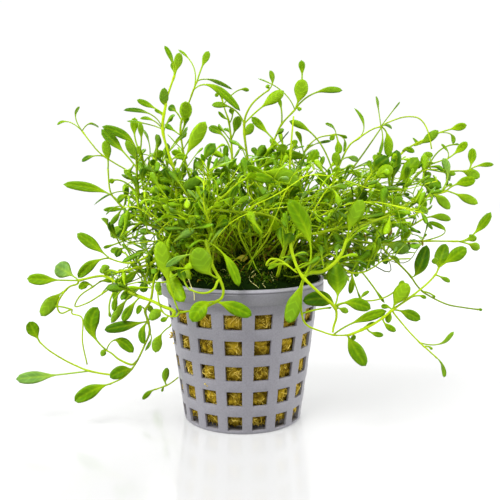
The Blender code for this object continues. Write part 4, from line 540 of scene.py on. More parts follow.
        (6.7, 69, 82.4, 67.2, 88.5, -1, 6, 2.6), (6.4, 66.2, 75.2, 70.1, 71.3, -3, 6, 3.2),
        (6.8, 68.9, 79.1, 70.7, 79.5, 1, 2.4, 1.3), (5.3, 58.6, 75, 62, 71.9, -8, 6, 3),
        (4, 48.5, 66.7, 52.3, 66.3, -14, 4.4, 2.6)]),
    shoot("shoot_thick_right", 1.3, None, [
        (22.6, 49.6, -30.5), (27.2, 50.2, -29), (31, 52.8, -28), (33.6, 56.2, -27), (35.4, 60.8, -25),
        (39, 65, -22), (52, 70, -13), (57.5, 71.3, -10)], [
        (5, 36.8, 66.8, 40.5, 74.6, -27, 9.5, 4.8), (8, 60, 71.6, 62.8, 70.2, -10, 4, 2.2),
        (7, 51.5, 73.5, 54.2, 75, -14, 4.5, 2.4, 10)]),
    shoot("shoot_right_curl", 0.8, (17, 2), [
        (30, 62, 5), (42, 62, 6), (50, 61.5, 6), (54, 63.8, 6), (61, 68, 6)], [
        (5, 65.4, 68.9, 70.6, 67.7, 7, 7.5, 2.6), (5, 62.6, 66.6, 64.4, 64.4, 6, 4, 1.5, 30),
        (4.6, 58.6, 68.3, 56.6, 69, 4, 3.2, 1.3), (2.6, 46, 64.5, 49.5, 66.2, 3, 4.6, 2.8)]),
    shoot("shoot_right_level", 0.9, (19, -2), [
        (34, 60.5, -2), (44, 59.8, 0), (61, 60.5, 2), (73.4, 60.4, 2)], [
        (4, 78.4, 62.8, 84.1, 70.4, 4, 7.5, 3.1), (4, 76.9, 60.9, 78.7, 62.6, 0, 3.6, 3),
        (4, 77.2, 59.4, 80.8, 57.8, 4, 5, 2.9), (3, 68.7, 63.6, 63, 67.1, 4, 7, 2.2, 35),
        (3, 61.6, 61.9, 62.5, 63, 1, 1.6, 0.9), (2.6, 54.5, 62, 57, 64.5, 0, 4.5, 2.8)]),

    # Shoots over the middle of the pot
    shoot("shoot_over_moss", 1.2, (-7, -13), [
        (-11.5, 65, -19), (-11, 71, -20), (-4.8, 77, -22), (-1.5, 80, -23)], [
        (4, 3.6, 82.2, 9.8, 81, -26, 7.5, 3.1), (4, 8.5, 83.8, 19.3, 79.3, -19, 12, 5),
        (2, -13.8, 74.4, -13.2, 79.3, -17, 5.5, 3.5), (1.2, -15.6, 67.9, -20.5, 66.8, -18, 5, 2.4, 20)]),
    shoot("runner_over_moss", 0.9, None, [
        (-10.2, 71.4, -23), (-5, 70.8, -23), (1, 70.4, -24), (6, 70, -25), (10.5, 68.7, -26),
        (13.6, 66.2, -27), (15, 62.6, -28.5)], [
        (3, 3.4, 67, 6.8, 62.8, -26, 5, 2.3), (2, -1.5, 73.6, 2.2, 75.7, -24, 5, 1.8),
        (4, 8.5, 73.2, 9.3, 76.5, -23, 5, 3)]),
    shoot("shoot_moss_edge", 0.8, None, [
        (8.3, 52.3, -28), (9.5, 54.4, -28.5), (12.5, 54.1, -29), (15.2, 52.4, -30),
        (18.6, 49.7, -31.5)], [
        (4, 12, 52.6, 8.6, 51, -29, 4, 1.3)]),

    # Shoots at the back of the pot
    shoot("shoot_back_left", 0.9, (-9, 14), [
        (-17, 61, 24), (-25, 67, 34), (-31, 69, 42), (-36, 66, 50)], [
        (4, -40, 65.6, -44.5, 62, 56, 8, 4, 10), (3, -32.5, 73, -33, 77.5, 44, 6.5, 3.6, 20),
        (2, -22, 70.5, -24.5, 74, 30, 6, 3.4, 30), (4, -33.5, 62.5, -34, 58.5, 53, 6, 3.4, 20)]),
    shoot("shoot_back_middle", 1.0, (-2, 17), [
        (-4, 62, 28), (-8, 70, 38), (-11, 73.5, 48), (-12, 71, 57)], [
        (4, -13, 68, -15.5, 63.5, 62, 7.5, 4, 15), (4, -9, 71.5, -5, 69, 63, 7.5, 3.8, 25),
        (3, -14.5, 76, -18, 78, 50, 7, 3.8, 25), (2, -5, 74.5, -3.5, 79.5, 40, 7, 3.6, 10),
        (1, -7, 65.5, -10.5, 66, 30, 6, 3.2, 30)]),
    shoot("shoot_back_right", 0.9, (9, 15), [
        (14, 62, 26), (20, 69, 35), (27, 72, 42), (33, 69.5, 50)], [
        (4, 37, 68, 41, 64, 55, 8, 4, 15), (3, 29, 75.5, 31.5, 79, 40, 6.5, 3.6, 15),
        (2, 17.5, 73, 16, 77.5, 36, 7, 3.6, 25), (4, 31.5, 66, 30.5, 61.5, 54, 6.5, 3.6, 25)]),
    shoot("shoot_back_hanging", 0.9, (3, 19), [
        (7, 55, 31), (9.5, 50, 38), (10, 41, 41), (8.5, 33, 42)], [
        (4, 6.5, 28, 6, 22, 43, 9, 4.4, 10), (3, 13.5, 38.5, 15.5, 33, 44, 8, 4, 20),
        (2, 5, 47, 2, 42.5, 42, 7.5, 3.8, 20), (4, 11, 31, 15, 28.5, 40, 6, 3.4, 30)]),
    shoot("shoot_back_low", 0.8, (-11, 16), [
        (-17, 54, 27), (-20.5, 47, 33), (-21.5, 38, 36), (-25, 31, 37)], [
        (4, -28.5, 27.5, -30, 22, 38, 8, 4.2, 10), (3, -18.5, 34.5, -16, 29.5, 38, 7.5, 3.8, 20),
        (2, -25.5, 45, -29, 42.5, 36, 7, 3.4, 20)]),
]

# Leafy shoots inside the growth, between the others
INNER_SHOOTS = [
    shoot("shoot_inner_left", 1.0, (-13, 7), [
        (-21, 62, 9), (-28, 70, 13), (-32, 80, 14), (-31, 91, 12)], []),
    shoot("shoot_inner_middle_left", 1.0, (-5, 2), [
        (-8, 66, -6), (-12, 76, -9), (-9, 86, -8), (-11, 96, -5)], []),
    shoot("shoot_inner_middle", 1.0, (3, 11), [
        (4, 66, 14), (9, 76, 19), (12, 86, 19), (9, 95, 15)], []),
    shoot("shoot_inner_right", 1.0, (12, -6), [
        (22, 64, -9), (30, 72, -13), (38, 80, -13), (43, 88, -9)], []),
    shoot("shoot_inner_far_right", 1.0, (15, 9), [
        (28, 64, 17), (42, 70, 23), (54, 78, 23), (63, 86, 17)], []),
]


def seen(across, up, depth):
    """The real place, in millimetres, of a point that is seen at (across, up) in the middle plane."""
    in_plane = Vector((across, 0.0, up))
    reach = (depth - SIGHT_POINT.y) / (in_plane.y - SIGHT_POINT.y)
    return SIGHT_POINT + (in_plane - SIGHT_POINT) * reach


def as_seen(point):
    """Where a real point is seen in the middle plane: (across, up)."""
    reach = (0.0 - SIGHT_POINT.y) / (point.y - SIGHT_POINT.y)
    place = SIGHT_POINT + (point - SIGHT_POINT) * reach
    return place.x, place.z


def inside(outline, across, up):
    """Whether (across, up) lies inside a closed outline."""
    within = False
    for (x1, y1), (x2, y2) in zip(outline, outline[1:] + outline[:1]):
        if (y1 > up) != (y2 > up) and across < x1 + (up - y1) * (x2 - x1) / (y2 - y1):
            within = not within
    return within


def clamp(value, least=0.0, most=1.0):
    """The value, held between two limits."""
    return min(max(value, least), most)


def blend(first, second, share):
    """A colour between two others."""
    return tuple(a + (b - a) * share for a, b in zip(first, second))


def shaken(chance, spread):
    """A random vector, each part of it normally spread about 0."""
    return Vector(chance.normal(0.0, spread, 3))


def add_object(name, data):
    """A new object in the scene."""
    item = bpy.data.objects.new(name, data)
    bpy.context.scene.collection.objects.link(item)
    return item


class Growth:
    """Collects tubes and leaves, each with its own colours, into one mesh."""

    def __init__(self):
        self.points = []
        self.faces = []
        self.colours = []
        self.blade_places = []

    def add_rings(self, rings, colours, tip=None, tip_colour=None, blade_places=None):
        """Skin a run of equal rings. A tip closes the end in a point, else a cap does."""
        size = len(rings[0])
        first = len(self.points)
        count = size * len(rings) + (tip is not None)
        self.blade_places.extend(blade_places or [(0.0, 0.0, 0.0)] * count)
        for ring, ring_colours in zip(rings, colours):
            self.points.extend(ring)
            self.colours.extend(ring_colours)
        for row in range(len(rings) - 1):
            low = first + row * size
            for i in range(size):
                j = (i + 1) % size
                self.faces.append((low + i, low + j, low + size + j, low + size + i))
        self.faces.append(tuple(first + i for i in reversed(range(size))))
        end = first + (len(rings) - 1) * size
        if tip is None:
            self.faces.append(tuple(end + i for i in range(size)))
        else:
            self.points.append(tip)
            self.colours.append(tip_colour)
            for i in range(size):
                self.faces.append((end + i, end + (i + 1) % size, end + size))

    def add_tube(self, route, radii, sides, colours):
        """A round tube along a route of real points."""
        side = None
        rings = []
        for i, point in enumerate(route):
            along = (route[min(i + 1, len(route) - 1)] - route[max(i - 1, 0)]).normalized()
            if side is None:
                side = along.orthogonal().normalized()
            side = (side - along * side.dot(along)).normalized()
            other = along.cross(side)
            ring = []
            for k in range(sides):
                angle = math.tau * k / sides
                ring.append(point + (side * math.cos(angle) + other * math.sin(angle)) * radii[i])
            rings.append(ring)
        self.add_rings(rings, [[colour] * sides for colour in colours])

    def add_thread(self, route, radius, sides, colour):
        """A tube of one radius and one colour."""
        self.add_tube(route, [radius] * len(route), sides, [colour] * len(route))

    def make(self, name, material, slot, replaced=None):
        """The collected mesh as a piece that rides on the part's one body."""
        mesh = bpy.data.meshes.new(name)
        mesh.from_pydata([point * MM for point in self.points], [], self.faces)
        layer = mesh.color_attributes.new("Tint", "FLOAT_COLOR", "POINT")
        flat = np.ones((len(self.points), 4), np.float32)
        flat[:, :3] = np.array([tuple(colour) for colour in self.colours], np.float32)
        layer.data.foreach_set("color", flat.ravel())
        places = mesh.attributes.new("Blade", "FLOAT_VECTOR", "POINT")
        places.data.foreach_set("vector", np.array(self.blade_places, np.float32).ravel())
        mesh.shade_smooth()
        mesh.materials.append(material)
        piece = add_object(name, mesh)
        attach(piece, "root")
        if replaced:
            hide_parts(replaced)


def smooth_route(points, per_span):
    """A smooth curve through the points."""
    ends = [points[0] * 2.0 - points[1]] + list(points) + [points[-1] * 2.0 - points[-2]]
    route = []
    for i in range(1, len(ends) - 2):
        before, start, finish, after = ends[i - 1:i + 3]
        for k in range(per_span):
            t = k / per_span
            route.append(0.5 * (start * 2.0 + (finish - before) * t
                                + (before * 2.0 - start * 5.0 + finish * 4.0 - after) * t * t
                                + (start * 3.0 - before - finish * 3.0 + after) * t * t * t))
    route.append(points[-1].copy())
    return route


def spine_point(spine, share):
    """The curve through a leaf's base, middle and tip."""
    base, middle, tip = spine
    from_base = (1.0 - share) * (1.0 - 2.0 * share)
    from_middle = 4.0 * share * (1.0 - share)
    from_tip = share * (2.0 * share - 1.0)
    return base * from_base + middle * from_middle + tip * from_tip


def blade_profile(place):
    """A spoon-shaped blade's share of its full width, from its foot (0) to its tip (1)."""
    if place <= 0.0:
        return 0.0
    if place < WIDEST_PLACE:
        rise = 0.5 - 0.5 * math.cos(math.pi * place / WIDEST_PLACE)
        return rise ** FOOT_FULLNESS
    narrowing = ((place - WIDEST_PLACE) / (1.0 - WIDEST_PLACE)) ** TIP_BLUNTNESS
    return math.sqrt(max(1.0 - narrowing, 0.0))


def add_leaf(growth, spine, blade, width, side_at, colour, chance, places=FINE_PLACES, stations=16):
    """A leaf with its stalk. spine is (base, middle, tip) and side_at gives the way across it."""
    base, middle, tip = spine
    length = (middle - base).length + (tip - middle).length
    start = max(1.0 - blade / length, LEAST_STALK_SHARE)
    cup = chance.uniform(*LEAF_CUP)
    wave = chance.uniform(*LEAF_WAVE) * width
    wave_phase = chance.uniform(0.0, math.tau)
    stalk = blend(colour, STEM_GREEN, 0.5)
    far_end = blend(colour, LEAF_DARK, chance.uniform(0.0, FAR_END_DARKER))
    under = blend(colour, LEAF_UNDERSIDE, UNDERSIDE_PALER)
    corners = [(c, 1.0) for c in places[0]] + [(c, -1.0) for c in places[1]]
    near_tip = spine_point(spine, FLAT_SHARE)
    flat_way = side_at(near_tip, (spine_point(spine, FLAT_SHARE + 0.05) - near_tip).normalized())
    blade_places = []
    rings = []
    colours = []
    for i in range(stations):
        share = i / stations
        share = min(share + (1.0 - share) * share * STATION_EASE, LAST_STATION)
        place = (share - start) / (1.0 - start)
        along_blade = max(place, 0.0)
        in_blade = clamp(place * 2.0)
        if place > WIDEST_PLACE:
            spread = max(width, PETIOLE_WIDTH) * blade_profile(place)
        else:
            spread = PETIOLE_WIDTH + max(width - PETIOLE_WIDTH, 0.0) * blade_profile(place)
        half = spread / 2.0
        point = spine_point(spine, share)
        along = (spine_point(spine, share + 0.01) - point).normalized()
        side = (flat_way - along * flat_way.dot(along)).normalized()
        up = along.cross(side).normalized()
        tone = blend(colour, far_end, along_blade)
        tone = blend(tone, LEAF_DARK, max(chance.uniform(*MOTTLING), 0.0))
        rib = blend(tone, STEM_GREEN, RIB_PALER * (1.0 - RIB_FADE * along_blade))
        groove = blend(tone, LEAF_DARK, GROOVE_DARKER)
        # The margin colour is a painted highlight along the leaf's edges
        margin_highlight = blend(tone, STEM_GREEN, MARGIN_HIGHLIGHT)
        ring = []
        ring_colours = []
        for c, face in corners:
            turn = wave_phase + share * WAVES_ALONG + c * WAVES_ACROSS
            lift = cup * half * c * c + wave * math.sin(turn)
            lift = lift * in_blade + face * LEAF_THICKNESS * 0.5 * math.sqrt(1.0 - c * c)
            shade = tone
            if face < 0.0:
                shade = under
            elif c == 0.0:
                shade = rib
                lift -= RIB_DEPTH * in_blade * min(half, 1.0)
            elif abs(c) == 1.0:
                shade = margin_highlight
            elif abs(c) < 0.5:
                shade = groove
            ring.append(point + side * half * c + up * lift)
            ring_colours.append(blend(stalk, shade, in_blade))
            blade_places.append((c, along_blade, in_blade))
        rings.append(ring)
        colours.append(ring_colours)
    blade_places.append((0.0, 1.0, 1.0))
    growth.add_rings(rings, colours, tip, far_end, blade_places)


def turned_side(turn):
    """The way across a leaf of the table: square to the line of sight, then turned."""
    def side_at(point, along):
        side = along.cross((point - SIGHT_POINT).normalized()).normalized()
        side = Matrix.Rotation(math.radians(turn), 3, along) @ side
        return -side if along.cross(side).z < 0.0 else side
    return side_at


def free_side(lean):
    """The way across a leaf that lies open to the sky, with a lean of its own."""
    def side_at(point, along):
        return along.cross(Vector((0.0, -0.35, 1.0)) + lean).normalized()
    return side_at


def depth_shift(attempt):
    """How much farther (+) or nearer (-) a shoot lies on its nth attempt."""
    side = 1.0 if attempt % 2 else -1.0
    return side * math.ceil(attempt / 2.0) * CLEARANCE_STEP


def settled_attempt(plan):
    """Which attempt of the solids' search placed this shoot, read from its node's box."""
    low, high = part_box(plan.name)
    wanted = [part / MM for part in (*low, *high)]
    best = (math.inf, 0)
    for attempt in range(CLEARANCE_TRIES):
        shift = depth_shift(attempt)
        marks = [seen(across, up, depth + shift) for across, up, depth in plan.route]
        marks += [seen(leaf.tip_across, leaf.tip_up, leaf.tip_depth + shift) for leaf in plan.leaves]
        extent = [min(mark[i] for mark in marks) for i in range(3)]
        extent += [max(mark[i] for mark in marks) for i in range(3)]
        misses = sorted(abs(a - b) for a, b in zip(wanted, extent))
        best = min(best, (sum(misses[:4]), attempt))
    return best[1]


def moss_height(across, depth):
    """Height of the moss mound above a place on the pot."""
    flat = math.hypot(across, depth) / MOSS_RADIUS
    if flat >= 1.0:
        return MOSS_BOTTOM
    upward = math.sqrt(1.0 - flat * flat)
    direction = Vector((across / MOSS_RADIUS, depth / MOSS_RADIUS, upward))
    lump = noise.noise(direction * 2.6) * MOSS_LUMP
    return MOSS_BOTTOM + MOSS_RIM_HEIGHT + MOSS_DOME_HEIGHT * upward ** 1.3 + lump * upward


def on_mound(x, y, lift):
    """A point just over or under the surface of the moss mound."""
    return Vector((x, y, moss_height(x, y) + lift))


def root_place(plan, attempt):
    """Where a rooted shoot goes into the moss."""
    away = ROOT_STEP * attempt
    across = plan.root[0] + away * math.cos(GOLDEN_ANGLE * attempt)
    depth = plan.root[1] + away * math.sin(GOLDEN_ANGLE * attempt)
    return on_mound(across, depth, -ROOT_DEPTH)


def place_on_stem(points, place):
    """The point at a place along the route, where whole places are the route's own points."""
    start = min(int(place), len(points) - 2)
    return points[start].lerp(points[start + 1], place - start)


def nearest_on(point, routes):
    """The gap to the nearest point of any of the routes, and that point."""
    best = (math.inf, point)
    for route in routes:
        for other in route:
            gap = (other - point).length
            if gap < best[0]:
                best = (gap, other)
    return best


def free_colour(chance, light):
    """A free leaf's green. light runs from 0, deep in the growth, to 1, out in the open."""
    roll = chance.random()
    # A few free leaves take the pale green with its painted bluish sheen
    if roll < PALE_SHEEN_CHANCE:
        return blend(LEAF_PALE_AND_SHEEN, SHADED_MIDDLE, chance.random())
    if roll < BRIGHT_CHANCE + BRIGHT_IN_LIGHT * light:
        return blend(SHADED_MIDDLE, SHADED_BRIGHT, chance.random() ** 0.7)
    return blend(LEAF_DARK, SHADED_MIDDLE, chance.random() ** 1.4)


def table_colour(name, number, chance):
    """The green of a leaf of the table."""
    if number in DARK_LEAVES.get(name, ()):
        return blend(LEAF_DARK, LEAF_MIDDLE, 0.35)
    if number in PALE_SHEEN_LEAVES.get(name, ()):
        return blend(LEAF_PALE_AND_SHEEN, LEAF_MIDDLE, 0.25)
    if number in BRIGHT_LEAVES.get(name, ()):
        return blend(LEAF_MIDDLE, LEAF_BRIGHT, 1.15)
    return blend(LEAF_MIDDLE, LEAF_BRIGHT, chance.uniform(0.05, 0.75))


def stem_radii(plan, count, leaf_places, spans):
    """A stem's radius along its route: it thins, and swells a little where leaves sit."""
    radii = []
    for i in range(count):
        share = i / (count - 1)
        radius = plan.thickness / 2.0 * (1.0 + (STEM_TIP_SHARE - 1.0) * share)
        gaps = [(share * spans - where) * JOINT_SHARPNESS for where in leaf_places]
        swell = sum(math.exp(-gap ** 2) for gap in gaps)
        radii.append(max(radius, LEAST_STEM_RADIUS) * (1.0 + JOINT_SWELLING * min(swell, 1.0)))
    return radii


def grow_shoot(plan, points, shift, curves, chance, material):
    """The fine form of one shoot. A stem that roots nowhere grows out of the nearest other stem."""
    growth = Growth()
    stem = list(points)
    first_place = 0
    if plan.root is None:
        first_place = -1
        others = [curve for name, curve in curves.items() if name != plan.name]
        gap, joint = nearest_on(points[0], others)
        if REACH_OF_JOINT[0] < gap < REACH_OF_JOINT[1]:
            stem.insert(0, joint)
    added = len(stem) - len(points)
    route = smooth_route(stem, STEM_STEPS)
    leaf_places = [leaf.where + first_place + added for leaf in plan.leaves]
    shade = chance.uniform(*STEM_SHADE_SHARE)
    tones = []
    for point in route:
        patch = 0.30 * noise.noise(point * 0.15) + 0.15 * noise.noise(point * 0.9)
        tones.append(blend(STEM_GREEN, STEM_SHADE, clamp(shade + patch)))
    growth.add_tube(route, stem_radii(plan, len(route), leaf_places, len(stem) - 1), STEM_SIDES, tones)
    for number, leaf in enumerate(plan.leaves):
        base = place_on_stem(points, min(leaf.where + first_place, len(points) - 1.02))
        tip = seen(leaf.tip_across, leaf.tip_up, leaf.tip_depth + shift)
        middle = seen(leaf.middle_across, leaf.middle_up, (base.y + tip.y) / 2.0)
        spine = (base, middle, tip)
        colour = table_colour(plan.name, number, chance)
        add_leaf(growth, spine, leaf.blade, leaf.width, turned_side(leaf.turn), colour, chance)
    growth.make(plan.name + "_fine", material, "leaf green", plan.name)


def grow_shoots(material):
    """Every shoot in the table, where the solids have it. It returns their curves by name."""
    chance = np.random.default_rng(7)
    shifts = {}
    routes = {}
    for plan in SHOOTS:
        attempt = settled_attempt(plan)
        shift = depth_shift(attempt)
        points = [seen(across, up, depth + shift) for across, up, depth in plan.route]
        if plan.root is not None:
            points.insert(0, root_place(plan, attempt))
        shifts[plan.name] = shift
        routes[plan.name] = points
    curves = {name: smooth_route(points, STEM_STEPS) for name, points in routes.items()}
    for plan in SHOOTS:
        grow_shoot(plan, routes[plan.name], shifts[plan.name], curves, chance, material)
    return curves


def has_room(tip):
    """Whether a free leaf may end here: in the dense middle, and clear of the view of the moss."""
    low, high = CAD_BOX
    if not (low.y / MM + 1.0 < tip.y < high.y / MM - 1.0 and tip.z < FREE_TOP):
        return False
    across, up = as_seen(tip)
    beside_view = tip.y > MOSS_VIEW_DEPTH or abs(across) > MOSS_VIEW_HALF_WIDTH or up > MOSS_VIEW_TOP
    return beside_view and inside(DENSE_OUTLINE, across, up)


def grow_free_leaf(growth, base, along, way, chance, light):
    """One leaf of no particular place: it leaves its stem sideways and stays in the dense middle."""
    for _ in range(FREE_LEAF_TRIES):
        outward = along.orthogonal().normalized()
        outward = Matrix.Rotation(chance.uniform(0.0, math.tau), 3, along) @ outward
        heading = outward * way + along * chance.uniform(0.2, 1.0) + UP * 0.25
        length = chance.uniform(*FREE_LEAF_LENGTH)
        tip = base + heading.normalized() * length
        if not has_room(tip):
            continue
        middle = base.lerp(tip, 0.5) + Vector(chance.uniform(-0.8, 0.8, 3)) + UP * 0.6
        side_at = free_side(Vector(chance.uniform(-FREE_LEAF_LEAN, FREE_LEAF_LEAN, 3)))
        blade = length * chance.uniform(*FREE_BLADE_SHARE)
        width = blade * chance.uniform(*FREE_WIDTH_SHARE)
        colour = free_colour(chance, light)
        spine = (base, middle, tip)
        add_leaf(growth, spine, blade, width, side_at, colour, chance, PLAIN_PLACES, FREE_LEAF_STATIONS)
        return


def grow_leaf_pair(growth, base, along, chance, light):
    """A free leaf to either side of a stem."""
    for way in (-1.0, 1.0):
        grow_free_leaf(growth, base, along, way, chance, light)


def grow_side_leaves(curves, material):
    """Leaf pairs along the stems where they run through the dense middle."""
    chance = np.random.default_rng(11)
    growth = Growth()
    for curve in curves.values():
        travelled = 0.0
        for before, point in zip(curve, curve[1:]):
            travelled += (point - before).length
            if travelled >= SIDE_LEAF_PITCH and inside(DENSE_OUTLINE, *as_seen(point)):
                travelled = 0.0
                grow_leaf_pair(growth, point, (point - before).normalized(), chance, 0.45)
    growth.make("side_leaves", material, "leaf green")


def grow_wandering_stem(growth, start, end, chance, radius, tone):
    """A thin stem that wanders from one point to another. It returns its route."""
    span = (end - start).length
    first = start.lerp(end, 0.33) + shaken(chance, WANDERING) * span + UP * (0.10 * span)
    second = start.lerp(end, 0.68) + shaken(chance, WANDERING) * span + UP * (0.07 * span)
    route = smooth_route([start, first, second, end], STEM_STEPS)
    last = len(route) - 1
    # The stem is darkened towards its foot: painted shade deep in the growth
    deep = blend(tone, DEEP_SHADE_GREEN, DEEP_SHADE_SHARE * math.sqrt(chance.random()))
    tones = [blend(deep, tone, clamp((point.z - DEEP_SHADE_HEIGHT) / DEEP_SHADE_SPAN)) for point in route]
    radii = [radius * (1.0 - FREE_STEM_THINNING * i / last) for i in range(last + 1)]
    growth.add_tube(route, radii, FREE_STEM_SIDES, tones)
    return route


def moss_foot(end, chance):
    """A place in the moss for a stem that ends at the given point."""
    angle = math.atan2(end.y, end.x) + chance.normal(0.0, 0.6)
    radius = chance.uniform(*STEM_FOOT_RADIUS)
    return on_mound(radius * math.cos(angle), radius * math.sin(angle), -1.0)


def grow_tangle(growth, centre, chance):
    """Short thin strands, dead and alive, that knot together just over the moss."""
    for _ in range(STRANDS):
        x = centre.x + chance.normal(0.0, 9.0)
        y = centre.y + chance.normal(0.0, 8.0)
        if math.hypot(x, y) > STRANDS_RADIUS or y < STRANDS_FRONT:
            continue
        heading = Vector((chance.normal(0.0, 0.7), chance.normal(0.0, 0.7), 1.0)).normalized()
        points = [on_mound(x, y, -0.5)]
        for _ in range(4 if y > -10.0 else 2):
            heading = (heading + shaken(chance, 0.6) + UP * 0.15).normalized()
            points.append(points[-1] + heading * chance.uniform(*STRAND_REACH))
        # Live strands are mostly darkened to the deep green of painted shade
        tone = blend(DEEP_SHADE_GREEN, STEM_GREEN, chance.random() ** 3.0 * 0.7)
        if chance.random() < 0.25:
            tone = blend(MOSS_BROWN, SCRAP_BROWN, chance.random())
        growth.add_thread(smooth_route(points, 3), chance.uniform(*THIN_STRAND_RADIUS), 4, tone)


def free_ends(chance):
    """Where the free stems end: all over the dense middle, and thinner towards its top."""
    ends = []
    while len(ends) < FREE_STEMS:
        across = chance.uniform(*FREE_ACROSS)
        up = chance.uniform(*FREE_UP)
        end = seen(across, up, chance.normal(*FREE_DEPTH))
        if has_room(end) and chance.random() > (up - THINNING_START) / THINNING_SPAN:
            ends.append(end)
    return ends


def grow_long_stem(growth, end, on_open_side, chance):
    """A free stem with leaf pairs all along it."""
    up = as_seen(end)[1]
    tone = blend(SHADED_MIDDLE, STEM_LIT, 0.3 + 0.7 * chance.random())
    start = moss_foot(end, chance)
    radius = chance.uniform(*FREE_STEM_RADIUS)
    route = grow_wandering_stem(growth, start, end, chance, radius, tone)
    light = clamp((up - 55.0) / 35.0, 0.1, 0.8) + (0.2 if on_open_side else 0.0)
    grow_leaf_pair(growth, route[-1], (route[-1] - route[-2]).normalized(), chance, light)
    for i in range(7, len(route), 3):
        along = (route[i] - route[i - 1]).normalized()
        bare_chance = BARE_CHANCE_LOW if route[i].z < BARE_BELOW else BARE_CHANCE_HIGH
        for way in (-1.0, 1.0):
            if chance.random() >= bare_chance:
                grow_free_leaf(growth, route[i], along, way, chance, light)


def grow_short_stem(growth, end, chance):
    """A thin bright stem that leans across the growth and ends in a leaf pair."""
    tone = blend(SHADED_BRIGHT, STEM_LIT, chance.random())
    foot = moss_foot(Vector((-end.x * 0.5, end.y + 5.0, 60.0)), chance)
    route = grow_wandering_stem(growth, foot, end, chance, SHORT_STEM_RADIUS, tone)
    grow_leaf_pair(growth, route[-1], (route[-1] - route[-2]).normalized(), chance, 0.4)


def grow_undergrowth(material):
    """The tangle of thin stems and leaves round each inner shoot. Each stands for its solid.

    Some stems of the open side are left out. They are grown into a Growth of their own that makes
    no piece, so the random draws of the others stay as they are.
    """
    chance = np.random.default_rng(23)
    left_out = np.random.default_rng(41)
    spots = [[seen(*place) for place in plan.route] for plan in INNER_SHOOTS]
    centres = [sum(places, Vector()) / len(places) for places in spots]
    growths = [Growth() for _ in INNER_SHOOTS]
    for end in free_ends(chance):
        distances = [(centre - end).length for centre in centres]
        growth = growths[distances.index(min(distances))]
        on_open_side = as_seen(end)[0] > OPEN_SIDE
        if on_open_side and left_out.random() < LEFT_OUT_SHARE:
            growth = Growth()
        grow_long_stem(growth, end, on_open_side, chance)
    for number, (plan, places, growth) in enumerate(zip(INNER_SHOOTS, spots, growths), 1):
        for _ in range(SHORT_STEMS):
            end = places[int(chance.integers(2))] + shaken(chance, 9.0) + UP * 3.0
            if has_room(end):
                grow_short_stem(growth, end, chance)
        grow_tangle(growth, places[0] * 0.6, chance)
        growth.make("undergrowth_%d" % number, material, "leaf green", plan.name)


def grow_moss(material):
    """The moss: a rough dark dome and thousands of short strands on it."""
    chance = np.random.default_rng(31)
    growth = Growth()
    rings = []
    for step in range(MOSS_STEPS):
        tilt = math.pi / 2.0 * step / MOSS_STEPS
        radius = MOSS_RADIUS * math.cos(tilt)
        ring = []
        for k in range(MOSS_SIDES):
            angle = math.tau * k / MOSS_SIDES
            x = radius * math.cos(angle)
            y = radius * math.sin(angle)
            fine = noise.noise(Vector((x, y, 0.0)) * 0.8)
            rough = fine * 0.8 + noise.noise(Vector((x, y, 5.0)) * 0.3) * 0.8
            height = moss_height(x, y) + rough * math.sin(tilt) if step else MOSS_BOTTOM
            ring.append(Vector((x, y, height)))
        rings.append(ring)
    growth.add_rings(rings, [[MOSS_DARK] * MOSS_SIDES] * MOSS_STEPS, on_mound(0.0, 0.0, 0.0), MOSS_DARK)
    for _ in range(MOSS_STRANDS):
        radius = MOSS_RADIUS * math.sqrt(chance.random()) * 0.985
        angle = chance.uniform(0.0, math.tau)
        x = radius * math.cos(angle)
        y = radius * math.sin(angle)
        foot = on_mound(x, y, -0.3)
        lean = Vector((chance.normal(0.0, 0.8), chance.normal(0.0, 0.8), chance.uniform(0.3, 1.0)))
        end = foot + lean.normalized() * chance.uniform(*STRAND_LENGTH)
        if math.hypot(end.x, end.y) > MOSS_RADIUS:
            continue
        route = [foot, foot.lerp(end, 0.5) + Vector(chance.uniform(-0.6, 0.6, 3)), end]
        clump = clamp(0.5 + 0.9 * noise.noise(Vector((x, y, 9.0)) * 0.25), 0.1)
        # Strands run from dark moss to a bright green that is partly paler moss and partly painted
        # highlights
        tone = blend(MOSS_DARK, MOSS_GREEN_AND_HIGHLIGHT, chance.random() ** 1.6 * clump)
        if chance.random() < 0.07:
            tone = blend(MOSS_BROWN, SCRAP_BROWN, chance.random() ** 2.0)
        growth.add_tube(route, STRAND_RADII, 3, [tone] * 3)
    growth.make("moss_strands", material, "moss", "moss_mound")


def on_moss(across, up, clear=0.25):
    """The first point along the line of sight through (across, up) that comes near the moss."""
    for step in range(MOSS_SEARCH_STEPS):
        point = seen(across, up, MOSS_SEARCH_START + MOSS_SEARCH_STEP * step)
        if point.z <= moss_height(point.x, point.y) + clear:
            return point
    return seen(across, up, DEPTH_OFF_MOSS)


